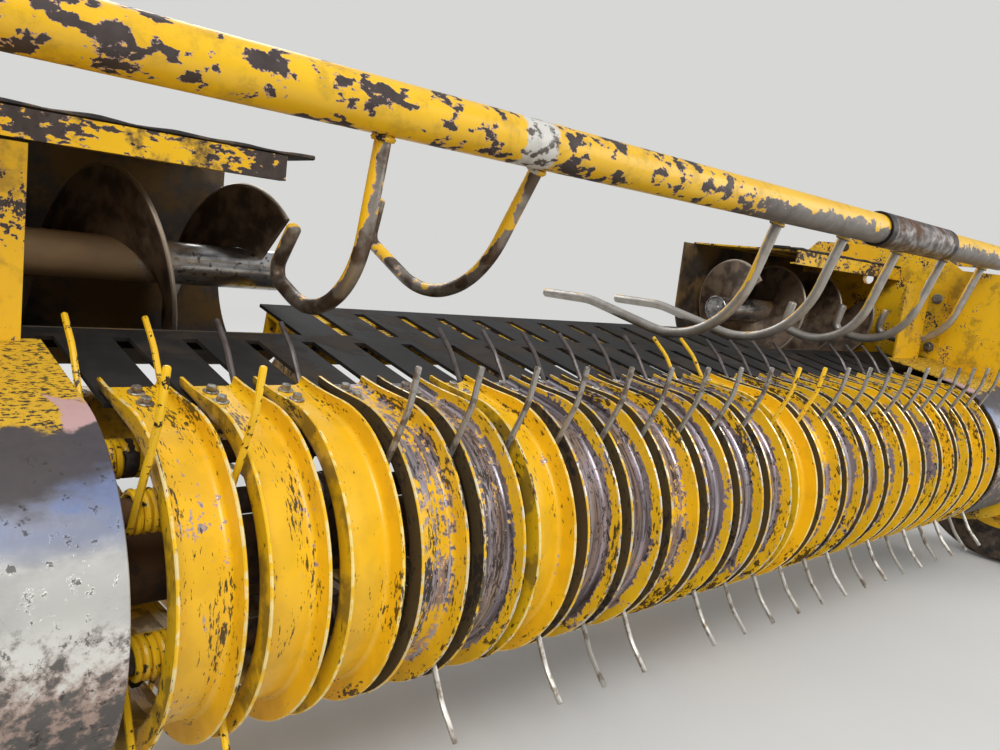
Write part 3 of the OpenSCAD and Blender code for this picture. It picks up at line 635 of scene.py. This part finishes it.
def placed(name, places, partMeshes, finishKey, body, facts=(), replaced=()):
    # Each place is a dictionary: at, turn (a matrix or a direction), kind and facts
    mesh = bpy.data.meshes.new(name + "Places")
    mesh.from_pydata([tuple(p["at"]) for p in places], [], [])
    columns = {"turn": ("FLOAT_VECTOR", "vector", []), "kind": ("INT", "value", [])}
    columns.update({fact: ("FLOAT", "value", []) for fact in facts})
    for p in places:
        turn = p.get("turn", Matrix.Identity(3))
        if not isinstance(turn, Matrix):
            turn = Vector(turn).to_track_quat("Z", "Y").to_matrix()
        columns["turn"][2].extend(turn.to_euler())
        columns["kind"][2].append(p.get("kind", 0))
        for fact in facts:
            columns[fact][2].append(p[fact])
    for label, (kind, field, values) in columns.items():
        mesh.attributes.new(label, kind, "POINT")
        mesh.attributes[label].data.foreach_set(field, values)
    holder = newObject(name + "Places", mesh)
    parts = bpy.data.collections.new(name + "Parts")
    scene.collection.children.link(parts)
    for i, partMesh in enumerate(partMeshes):
        parts.objects.link(bpy.data.objects.new(f"{name}Part{i}", partMesh))
    modifier = holder.modifiers.new("places", "NODES")
    modifier.node_group = placer
    values = {"Parts": parts, "Part Size": 1.0, "Finish": finish[finishKey]}
    for item in placer.interface.items_tree:
        if item.item_type == "SOCKET" and item.in_out == "INPUT" and item.name in values:
            modifier[item.identifier] = values[item.name]
    bpy.context.view_layer.update()
    graph = bpy.context.evaluated_depsgraph_get()
    made = bpy.data.meshes.new_from_object(
        holder.evaluated_get(graph), preserve_all_data_layers=True, depsgraph=graph)
    for spent in [holder, *parts.objects]:
        bpy.data.objects.remove(spent)
    bpy.data.collections.remove(parts)
    shownPiece(name, made, body, None, replaced)


# Stripper bands: U strip with rolled corners, bent round the reel

bandFacts = {"halfWidth": 0.025, "sheet": 0.003, "lip": 0.1425, "web": 0.122, "bend": 0.005,
             "lipDepth": 0.0075, "topRun": 0.075, "bottomRun": 0.268, "lipRun": 0.13, "lipLeft": 0.25,
             "wear": [0.22, 0.12, 0.0, 0.5, 0.72, 0.12, 0.9, 0.86, 0.6, 0.96, 0.9, 0.72, 0.0, 0.5,
                      0.8, 0.9, 0.62, 0.5, 0.8, 0.5, 0.7, 0.42, 0.6]}


def bandProfile():
    # (x, height above the reel axis) round the U, starting at the middle of the web's face
    f = bandFacts
    wall, sheet, bend = f["halfWidth"], f["sheet"], f["bend"]
    inner, low, top = wall - sheet, f["web"], f["lip"]
    half = [(0, low), (inner - bend, low)]
    for share in (0.25, 0.5, 0.75, 1.0):
        a = math.pi / 2 * share
        half.append((inner - bend + bend * math.sin(a), low + bend - bend * math.cos(a)))
    half += [(inner, top - f["lipDepth"]), (inner, top - 0.0009), (inner + edgeRound, top),
             (wall - edgeRound, top), (wall, top - 0.0009), (wall, top - f["lipDepth"])]
    outerBend = bend + sheet
    for share in (0.0, 0.25, 0.5, 0.75, 1.0):
        a = math.pi / 2 * share
        half.append((wall - outerBend + outerBend * math.cos(a),
                     low - sheet + outerBend - outerBend * math.sin(a)))
    left = [(-x, h) for x, h in reversed(half[1:])]
    return half + [(0, low - sheet)] + left


def bandMesh():
    f = bandFacts
    profile = bandProfile()
    lengths = lengthsRound(profile)
    total = lengths[-1]
    # Across runs both ways from the middle of the web's face
    around = [a if a < total / 2 - 1e-6 else a - total for a in lengths]
    path = cPath(f["topRun"], f["bottomRun"], f["web"])
    foot = f["web"] + f["bend"]
    rings = []
    for along, y, z, ny, nz in path:
        # The lips run out towards the rear end of the top run
        rise = min(along / f["lipRun"], 1)
        share = f["lipLeft"] + (1 - f["lipLeft"]) * rise * rise * (3 - 2 * rise)
        heights = [(x, foot + (h - foot) * share if h > foot else h) for x, h in profile]
        rings.append([(x, y + h * ny, z + h * nz) for x, h in heights])
    return ringMesh("band", rings, [s[0] for s in path], around)


bandMiddles = [(i - (bandCount - 1) / 2) * pitch for i in range(bandCount)]
bandPlaces = [{"at": (x, 0, 0), "wear": wear} for x, wear in zip(bandMiddles, bandFacts["wear"])]
placed("stripperBands", bandPlaces, [bandMesh()], "wornBandEnamel", "frame",
       facts=["wear"], replaced=["bands_left", "bands_middle", "bands_right"])
print("bands made:", bandCount)

# End covers of the drum

coverFacts = {"inner": 0.7795, "outer": 0.983, "radius": 0.1425, "sheet": 0.003, "topRun": 0.13,
              "bottomRun": 0.228}
for label, side in bothSides.items():
    f = coverFacts
    a, b = side * f["inner"], side * f["outer"]
    low, top, e = f["radius"] - f["sheet"], f["radius"], side * edgeRound
    profile = [(a, low), (b, low), (b, top - edgeRound), (b - e, top), (a + e, top),
               (a, top - edgeRound)]
    path = cPath(f["topRun"], f["bottomRun"], f["radius"], 60)
    rings = [[(x, y + h * ny, z + h * nz) for x, h in profile] for s, y, z, ny, nz in path]
    shownPiece("endCover" + label, ringMesh("cover", rings, [s[0] for s in path]), "frame",
               "polishedCoverSteel", ["end_cover_" + label.lower()])

# Spring tines: coils round each bar, prongs bent back towards the tip

tineFacts = {"wire": 0.00285, "coil": 0.01415, "turns": 5, "turnPitch": 0.0059, "root": 0.086,
             "tip": 0.042, "bend": math.radians(14), "barCircle": 0.088, "firstBar": -24,
             "stub": 0.012, "turnSteps": 14, "curlSteps": 5, "curlStep": 0.004, "curl": 0.018}
tineRows = {
    # node: heading from the front upwards, broken gaps, painted gaps, share of grime
    "tines_low_front": (-60, [2, 3, 5, 9], [0, 1], 0.0),
    "tines_top_front": (65, [2], [0, 1, 12, 13], 0.25),
    "tines_top_rear": (126, [4, 5, 18, 19], [0, 1, 12, 13], 0.85),
    "tines_rear": (168, [9], [0, 1, 12], 0.6),
    "tines_bottom": (244, [2, 16], [0, 1], 0.1)
}


def tineMesh(hand, broken):
    # One coil and its prong along +Z, the coil running inwards from the prong
    f = tineFacts
    coil, steps = f["coil"], f["turnSteps"]
    path = []
    for i in range(f["turns"] * steps, 0, -1):
        a = 2 * math.pi * i / steps
        path.append((hand * f["turnPitch"] * i / steps, -coil * math.cos(a), -coil * math.sin(a)))
    coilLength = 2 * math.pi * coil * f["turns"]
    if broken:
        path += [(0, -coil, 0), (0, -coil, f["stub"])]
    else:
        path += [(0, -coil, f["root"] * share) for share in (0, 0.35, 0.7, 0.94)]
        reach, at = f["root"], -coil
        for i in range(f["curlSteps"]):
            heading = f["bend"] * i / (f["curlSteps"] - 1)
            path.append((0, at, reach))
            at += f["curlStep"] * math.sin(heading)
            reach += f["curlStep"] * math.cos(heading)
        left = f["tip"] - f["curl"]
        path.append((0, at + left * math.sin(f["bend"]), reach + left * math.cos(f["bend"])))
    mesh = tube("tine", path, f["wire"], 8)
    # Wire length counted from the prong's root, so that the coil is below zero
    for loop in mesh.uv_layers["strip"].data:
        loop.uv.x -= coilLength
    return mesh


tineKinds = [tineMesh(1, False), tineMesh(-1, False), tineMesh(1, True), tineMesh(-1, True)]
clampPlaces = []
for index, (node, (heading, broken, painted, grime)) in enumerate(tineRows.items()):
    bar = math.radians(tineFacts["firstBar"] + 72 * index)
    centre = Vector((0, reelY - tineFacts["barCircle"] * math.cos(bar),
                     reelZ + tineFacts["barCircle"] * math.sin(bar)))
    turn = Matrix.Rotation(math.radians(90 - heading), 3, "X")
    places = []
    for gap in range(bandCount + 1):
        left = gap % 2 == 0
        places.append({
            "at": centre + Vector(((gap - bandCount / 2) * pitch, 0, 0)), "turn": turn,
            "kind": (0 if left else 1) + (2 if gap in broken else 0),
            "painted": 1.0 if gap in painted else 0.0, "grime": grime})
        if left:
            clampPlaces.append({"at": centre + Vector(((gap + 0.5 - bandCount / 2) * pitch, 0, 0)),
                                "turn": turn})
    placed(node.replace("tines_", "tineRow_"), places, tineKinds, "tineSpringSteel", "reel",
           facts=["painted", "grime"], replaced=[node])
print("tines made")


def clampMesh():
    # Saddle round the bar between two coils, with its bolt towards the prongs' rear
    ring = lathe("saddle", [(-0.005, 0.0107), (0.005, 0.0107), (0.005, 0.0155), (0.0042, 0.0163),
                            (-0.0042, 0.0163), (-0.005, 0.0155)], (0, 0), 24)
    bolt = boltMesh("clamp")
    bolt.transform(Matrix.Translation((0, 0.0158, 0)) @ Matrix.Rotation(-math.pi / 2, 4, "X"))
    return joined("clamp", [ring, bolt])


placed("tineClamps", clampPlaces, [clampMesh()], "castIron", "reel")
print("clamps made:", len(clampPlaces))

# Augers

augerFacts = {"tube": 0.024, "flight": 0.1, "start": 0.4985, "pitch": 0.154, "turns": 3,
              "sheet": 0.005, "crest": 0.52, "end": 0.47, "steps": 150, "middle": 0.06,
              "rimEdge": 0.0012}


def flightMesh(side):
    f = augerFacts
    half = f["sheet"] / 2
    lower = [(f["tube"] + seatGap, -half), (f["middle"], -half), (f["flight"] - f["rimEdge"], -half),
             (f["flight"], -half * 0.4)]
    profile = lower + [(r, -w) for r, w in reversed(lower)]
    rings, along = [], []
    for i in range(f["steps"] + 1):
        share = i / f["steps"]
        x = f["start"] + f["pitch"] * f["turns"] * share
        a = 2 * math.pi * (x - f["crest"]) / f["pitch"]
        rings.append([(side * (x + w), augerY + r * math.sin(a), augerZ + r * math.cos(a))
                      for r, w in profile])
        along.append(share)
    return ringMesh("flight", rings, along)


for label, side in bothSides.items():
    f = augerFacts
    node = "auger_" + label.lower()
    shownPiece("augerFlight" + label, flightMesh(side), node, "augerFlightSteel",
               ["auger_flight_" + label.lower()])
    # Dished end, tube, then the journal through the wall
    inner, outer = f["end"], wallIn - 0.006
    profile = [(inner, 0.0), (inner, 0.007), (inner + 0.0022, 0.0075), (inner + 0.0022, 0.0205),
               (inner, 0.0215), (inner, 0.0232), (inner + edgeRound, f["tube"]), (outer, f["tube"]),
               (outer, 0.0175), (wallOut + 0.025, 0.0175), (wallOut + 0.026, 0.0165),
               (wallOut + 0.026, 0.0)]
    shownPiece("augerTube" + label,
               lathe("tube", [(side * x, r) for x, r in profile], (augerY, augerZ), 48), node,
               "augerTubeSteel", ["auger_tube_" + label.lower()])
print("augers made")

# Wind guard: tube, sleeve and bent rods

guardFacts = {"up": 0.392, "tube": 0.02415, "tubeWall": 0.0036, "armX": 0.999, "rod": 0.008,
              "sleeveFrom": 0.425, "sleeveTo": 0.700, "sleeve": 0.0045, "sleeveEdge": 0.001}
guardY, guardZ = reelY, reelZ + guardFacts["up"]
rodShapes = {
    # heading below level, then straight length, bend radius and bend angle
    "hook": (80, [(0.088, 0.095, 102), (0.028, 0.016, 105), (0.042, 0, 0)]),
    "wideHook": (60, [(0.088, 0.140, 85), (0.078, 0.016, 80), (0.040, 0, 0)]),
    "longTail": (72, [(0.083, 0.148, 84), (0.128, 0.160, -12), (0.090, 0, 0)]),
    "shortHook": (72, [(0.103, 0.105, 87), (0.016, 0.016, 88), (0.032, 0, 0)])
}
rodsPresent = [(-0.534, "hook"), (-0.336, "wideHook"), (0.138, "longTail"), (0.336, "longTail"),
               (0.534, "shortHook"), (0.732, "shortHook"), (0.930, "shortHook")]


def rodPath(x, shape):
    heading, steps = rodShapes[shape]
    angle = -math.radians(heading)
    onSleeve = guardFacts["sleeveFrom"] < x < guardFacts["sleeveTo"]
    start = guardFacts["tube"] + (guardFacts["sleeve"] if onSleeve else 0) + seatGap
    y, z = start * math.cos(angle), guardFacts["up"] + start * math.sin(angle)
    path = [(x, y, z)]
    for straight, radius, bend in steps:
        y, z = y + straight * math.cos(angle), z + straight * math.sin(angle)
        path.append((x, y, z))
        if bend == 0:
            continue
        bend = math.radians(bend)
        count = max(6, int(abs(bend) * max(radius, 0.03) / 0.006))
        s = math.copysign(1, bend)
        for k in range(1, count + 1):
            a = bend * k / count
            path.append((x, y + radius * s * (math.sin(angle + a) - math.sin(angle)),
                         z - radius * s * (math.cos(angle + a) - math.cos(angle))))
        y, z, angle = path[-1][1], path[-1][2], angle + bend
    return [(px, py + reelY, pz + reelZ) for px, py, pz in path]


rodMeshes = [tube("rod", rodPath(x, shape), guardFacts["rod"], 16) for x, shape in rodsPresent]
shownPiece("guardRods", joined("rods", rodMeshes), "wind_guard", "wornRodEnamel",
           ["guard_rods"])

f = guardFacts
armX, bore = f["armX"], f["tube"] - f["tubeWall"]
tubeProfile = [(-armX, bore), (armX, bore), (armX, f["tube"]), (-armX, f["tube"])]
shownPiece("guardTube", lathe("tube", tubeProfile, (guardY, guardZ), 72), "wind_guard",
           "tubeEnamel", ["guard_tube"])
start, end, edge = f["sleeveFrom"], f["sleeveTo"], f["sleeveEdge"]
outer, inner = f["tube"] + f["sleeve"], f["tube"] + seatGap
sleeveProfile = [(start, inner), (end, inner), (end, outer - edge), (end - edge, outer),
                 (start + edge, outer), (start, outer - edge)]
shownPiece("guardSleeve", lathe("sleeve", sleeveProfile, (guardY, guardZ), 72), "wind_guard",
           "sleeveSteel", ["guard_sleeve"])
print("wind guard made")

weldFacts = {"radius": 0.0085, "thick": 0.0032, "hollow": 0.78, "ripples": 44, "lift": 0.002}


def weldBead(foot, direction):
    # Rippled fillet round a bar where it meets the tube
    f = weldFacts
    side = direction.orthogonal().normalized()
    other = direction.cross(side)
    rings = []
    for i in range(f["ripples"]):
        a = 2 * math.pi * i / f["ripples"]
        out = side * math.cos(a) + other * math.sin(a)
        swell = f["thick"] * (1.0 if i % 2 else f["hollow"])
        middle = foot + direction * f["lift"] + out * f["radius"]
        rings.append([middle + out * swell * math.cos(b) + direction * swell * math.sin(b)
                      for b in (math.pi * k / 3 for k in range(6))])
    return ringMesh("weld", rings, [0.01 * i for i in range(len(rings) + 1)], closedPath=True)


beads = []
for x, shape in rodsPresent:
    foot, second = (Vector(p) for p in rodPath(x, shape)[:2])
    beads.append(weldBead(foot, (second - foot).normalized()))
shownPiece("rodWelds", joined("welds", beads), "wind_guard", "tubeEnamel")

# Rubber flaps on the hoods: stiff strips, wavy along the free edge

flapFacts = {"from": 0.498, "to": 0.9825, "front": 0.186, "depth": 0.064, "low": 0.3533,
             "thick": 0.006, "lift": 0.0002, "slack": 0.0014, "wave": 0.0012, "steps": 60,
             "fray": (0.0035, 23), "fineFray": (0.002, 61), "seeds": {"Left": 7, "Right": 11}}
for label, side in bothSides.items():
    f = flapFacts
    (deep, rate), (fineDeep, fineRate) = f["fray"], f["fineFray"]
    randomness = random.Random(f["seeds"][label])
    waves = [(randomness.uniform(14, 60), randomness.uniform(0, 6.3)) for k in range(3)]
    rings, along = [], []
    for i in range(f["steps"] + 1):
        share = i / f["steps"]
        x = side * (f["from"] + (f["to"] - f["from"]) * share)
        dip = sum(math.sin(w * share + p) for w, p in waves) / 3
        ragged = deep * abs(math.sin(rate * share + side)) + fineDeep * abs(math.sin(fineRate * share))
        front, back = f["front"] + ragged, f["front"] + f["depth"]
        low, top = f["low"] + f["lift"], f["low"] + f["thick"] - f["slack"] + f["wave"] * dip
        ring = [(front, low + 0.0015), (front + 0.001, top - 0.0008), (front + 0.004, top),
                (back - 0.003, top), (back, top - 0.002), (back, low), (front + 0.003, low)]
        rings.append([(x, y + reelY, z + reelZ) for y, z in ring])
        along.append(share * 0.48)
    shownPiece("flap" + label, ringMesh("flap", rings, along), "frame", "flapRubber",
               ["flap_" + label.lower()])

# Gauge wheels

wheelFacts = {"x": 1.155, "y": -0.07, "z": -0.062, "radius": 0.2, "width": 0.16, "rim": 0.12,
              "ribs": ((0.006, 0.026, 0.0), (0.034, 0.054, 0.004)), "groove": 0.007,
              "ribEdge": 0.0015, "hub": 0.045, "hubRadius": 0.03, "bore": 0.01255,
              "flange": 0.0683, "nutRadius": 0.05}


def mirrored(profile):
    return [(-x, r) for x, r in reversed(profile) if x > 0.0001]


def tyreProfile(f):
    # Closed section: ribbed tread, bulged walls, beads, hollow inside
    half, top, rim, groove = f["width"] / 2, f["radius"], f["rim"], f["groove"]
    right = []
    for low, high, drop in f["ribs"]:
        crown = top - drop
        right += [(low, crown - groove), (low + f["ribEdge"], crown), (high - f["ribEdge"], crown),
                  (high, crown - groove)]
    # Shoulder and wall, then the hollow side
    right += [(0.064, top - 0.012), (0.073, top - 0.024), (0.0785, top - 0.040), (half, top - 0.056),
              (0.0775, rim + 0.016), (0.073, rim + 0.006), (0.0682, rim - 0.0138),
              (0.046, rim - 0.0138), (0.046, rim + 0.01), (0.053, rim + 0.034),
              (0.046, top - 0.026), (0.0, top - 0.021)]
    return right + mirrored(right)


def rimProfile(f):
    # Hub with its bore, dished disc, then the trough with a flange at each side
    hub, wide, bore, flange, rim = f["hub"], f["hubRadius"], f["bore"], f["flange"], f["rim"]
    outer = rim - 0.0143
    inner = outer - 0.004
    right = [(flange, outer), (flange + 0.0008, rim), (flange + 0.0036, rim),
             (flange + 0.0030, outer - 0.002), (flange, inner)]
    return [(0.0, wide), (hub, wide), (hub, bore), (-hub, bore), (-hub, wide), (-0.006, wide),
            (-0.004, 0.036), (-0.010, 0.062), (-0.004, 0.09), (0.0, inner), *mirrored(right), *right,
            (0.005, inner), (0.001, 0.09), (-0.005, 0.062), (0.001, 0.036)]


for label, side in bothSides.items():
    f = wheelFacts
    at = (reelY + f["y"], reelZ + f["z"])
    body = "wheel_" + label.lower()
    for name, profile, key, slot, segments in (
            ("tyre", tyreProfile(f), "tyreRubber", "tyre", 96),
            ("rim", rimProfile(f), "rimEnamel", "yellow_paint", 64)):
        sideProfile = [(side * (f["x"] + x), r) for x, r in profile]
        shownPiece(name + label, lathe(name, sideProfile, at, segments), body, key,
                   [name + "_" + label.lower()])
    nutPlaces = []
    for a in (math.radians(72 * k + 18) for k in range(5)):
        nutY, nutZ = at[0] + f["nutRadius"] * math.cos(a), at[1] + f["nutRadius"] * math.sin(a)
        nutPlaces.append({"at": (side * (f["x"] + 0.0035), nutY, nutZ), "turn": (side, 0, 0)})
    placed("wheelNuts" + label, nutPlaces, [boltMesh("wheel")], "boltZinc", body)
print("wheels made")

# Bolts on the frame

def onSlope(x, run, height):
    return (x, reelY + run * slopeY - height * slopeZ, reelZ + run * slopeZ + height * slopeY)


def onReel(x, y, z):
    return (x, reelY + y, reelZ + z)


boltPlaces = {
    "bandRuns": (0.040, 0.062), "bandStagger": 0.002, "guard": ((0.10, 0.19), (0.10, 0.295)),
    "bearingStand": 0.022, "bearingRadius": 0.034, "reelRadius": 0.062,
    "wall": ((0.352, 0.066), (0.352, 0.010), (0.326, 0.038), (0.378, 0.038), (0.248, -0.098),
             (0.02, 0.27), (0.10, 0.30))
}
f = boltPlaces
bandBolts = []
for i, x in enumerate(bandMiddles):
    x += f["bandStagger"] * (-1) ** i
    bandBolts += [{"at": onSlope(x, run, bandFacts["web"]), "turn": (0, -slopeZ, slopeY)}
                  for run in f["bandRuns"]]
placed("bandBolts", bandBolts, [boltMesh("band")], "boltZinc", "frame")

frameBolts = []
for side in bothSides.values():
    out = (side, 0, 0)
    frameBolts += [{"at": onReel(side * (wallIn - 0.004), y, z), "turn": (-side, 0, 0)}
                   for y, z in f["guard"]]
    for ring in (math.radians(45 + 90 * k) for k in range(4)):
        y = augerFromReel[0] + f["bearingRadius"] * math.cos(ring)
        z = augerFromReel[1] + f["bearingRadius"] * math.sin(ring)
        frameBolts.append({"at": onReel(side * (wallOut + f["bearingStand"]), y, z), "turn": out})
        # The left wall has its chain guard there
        if side > 0:
            y, z = f["reelRadius"] * math.cos(ring), f["reelRadius"] * math.sin(ring)
            frameBolts.append({"at": onReel(wallOut, y, z), "turn": out})
    frameBolts += [{"at": onReel(side * wallOut, y, z), "turn": out} for y, z in f["wall"]]
placed("frameBolts", frameBolts, [boltMesh("frame")], "boltZinc", "frame")
print("bolts made:", len(bandBolts) + len(frameBolts))

# Camera at the photograph's place

cameraFacts = {"place": (-0.96053, -1.08337, 0.18307), "right": (0.74493, -0.65706, 0.11563),
               "up": (0.00469, 0.17846, 0.98394), "forward": (0.66713, 0.73242, -0.13602),
               "focal": 30.48}
camera = newObject("camera", bpy.data.cameras.new("camera"))
camera.data.lens = cameraFacts["focal"]
camera.data.sensor_width = 36
camera.data.clip_start = 0.02
look = Matrix((cameraFacts["right"], cameraFacts["up"],
               [-c for c in cameraFacts["forward"]])).transposed().to_4x4()
camera.matrix_world = Matrix.Translation(cameraFacts["place"]) @ look
scene.camera = camera

# Floor, world and lamps

backdropGlow = {"Color": linear("#dcdcda"), "Strength": 0.95}
floorFacts = {"reach": 30, "level": -0.3522, "fadeAt": 4.0, "fadeSoft": 2.6}
reach, level = floorFacts["reach"], floorFacts["level"]
floorMesh = bpy.data.meshes.new("floor")
floorMesh.from_pydata([(-reach, -reach, level), (reach, -reach, level), (reach, reach, level),
                       (-reach, reach, level)], [], [(0, 1, 2, 3)])
floorObject = newObject("floor", floorMesh)
paleFloor, surface, place = newFinish("paleFloor", {"Roughness": 0.9})
join(surface, Base_Color=layer("#cfcfcd", "#dadad8", cloud(place, 0.4)))
# Far off, the floor that the camera sees turns into the backdrop
tree = surface.id_data
seen = addNode(tree, "ShaderNodeLightPath").outputs["Is Camera Ray"]
distance = addNode(tree, "ShaderNodeCameraData").outputs["View Distance"]
fading = times(seen, above(distance, floorFacts["fadeAt"], floorFacts["fadeSoft"]))
glow = addNode(tree, "ShaderNodeEmission", backdropGlow)
blend = addNode(tree, "ShaderNodeMixShader", {0: fading, 1: surface.outputs[0], 2: glow.outputs[0]})
tree.links.new(blend.outputs[0], tree.nodes["Material Output"].inputs["Surface"])
floorMesh.materials.append(paleFloor)

world = bpy.data.worlds.new("studio")
scene.world = world
world.use_nodes = True
tree = world.node_tree
tree.nodes.clear()
height = axes(addNode(tree, "ShaderNodeTexCoord").outputs["Generated"])["Z"]
shade = layer("#a9a9a8", "#f2f4f7", above(height, 0.35, 0.5))
ambient = addNode(tree, "ShaderNodeBackground", {"Color": shade, "Strength": 0.62})
backdrop = addNode(tree, "ShaderNodeBackground", backdropGlow)
seen = addNode(tree, "ShaderNodeLightPath").outputs["Is Camera Ray"]
both = addNode(tree, "ShaderNodeMixShader", {0: seen, 1: ambient.outputs[0], 2: backdrop.outputs[0]})
addNode(tree, "ShaderNodeOutputWorld", {"Surface": both.outputs[0]})

lamps = {
    # name: place, aimed at, size, power
    "key": ((-2.2, -3.0, 3.2), (0, -0.4, 0), 2.2, 150),
    "fill": ((3.2, -2.6, 1.4), (0.3, -0.4, 0), 2.5, 55),
    "back": ((0.5, 3.5, 2.6), (0, -0.1, 0.1), 2.5, 70)
}
for name, (at, aim, size, power) in lamps.items():
    lamp = newObject(name, bpy.data.lights.new(name, "AREA"))
    lamp.data.size = size
    lamp.data.energy = power
    lamp.location = at
    lamp.rotation_euler = (Vector(aim) - Vector(at)).to_track_quat("-Z", "Y").to_euler()
print("camera and lamps made")
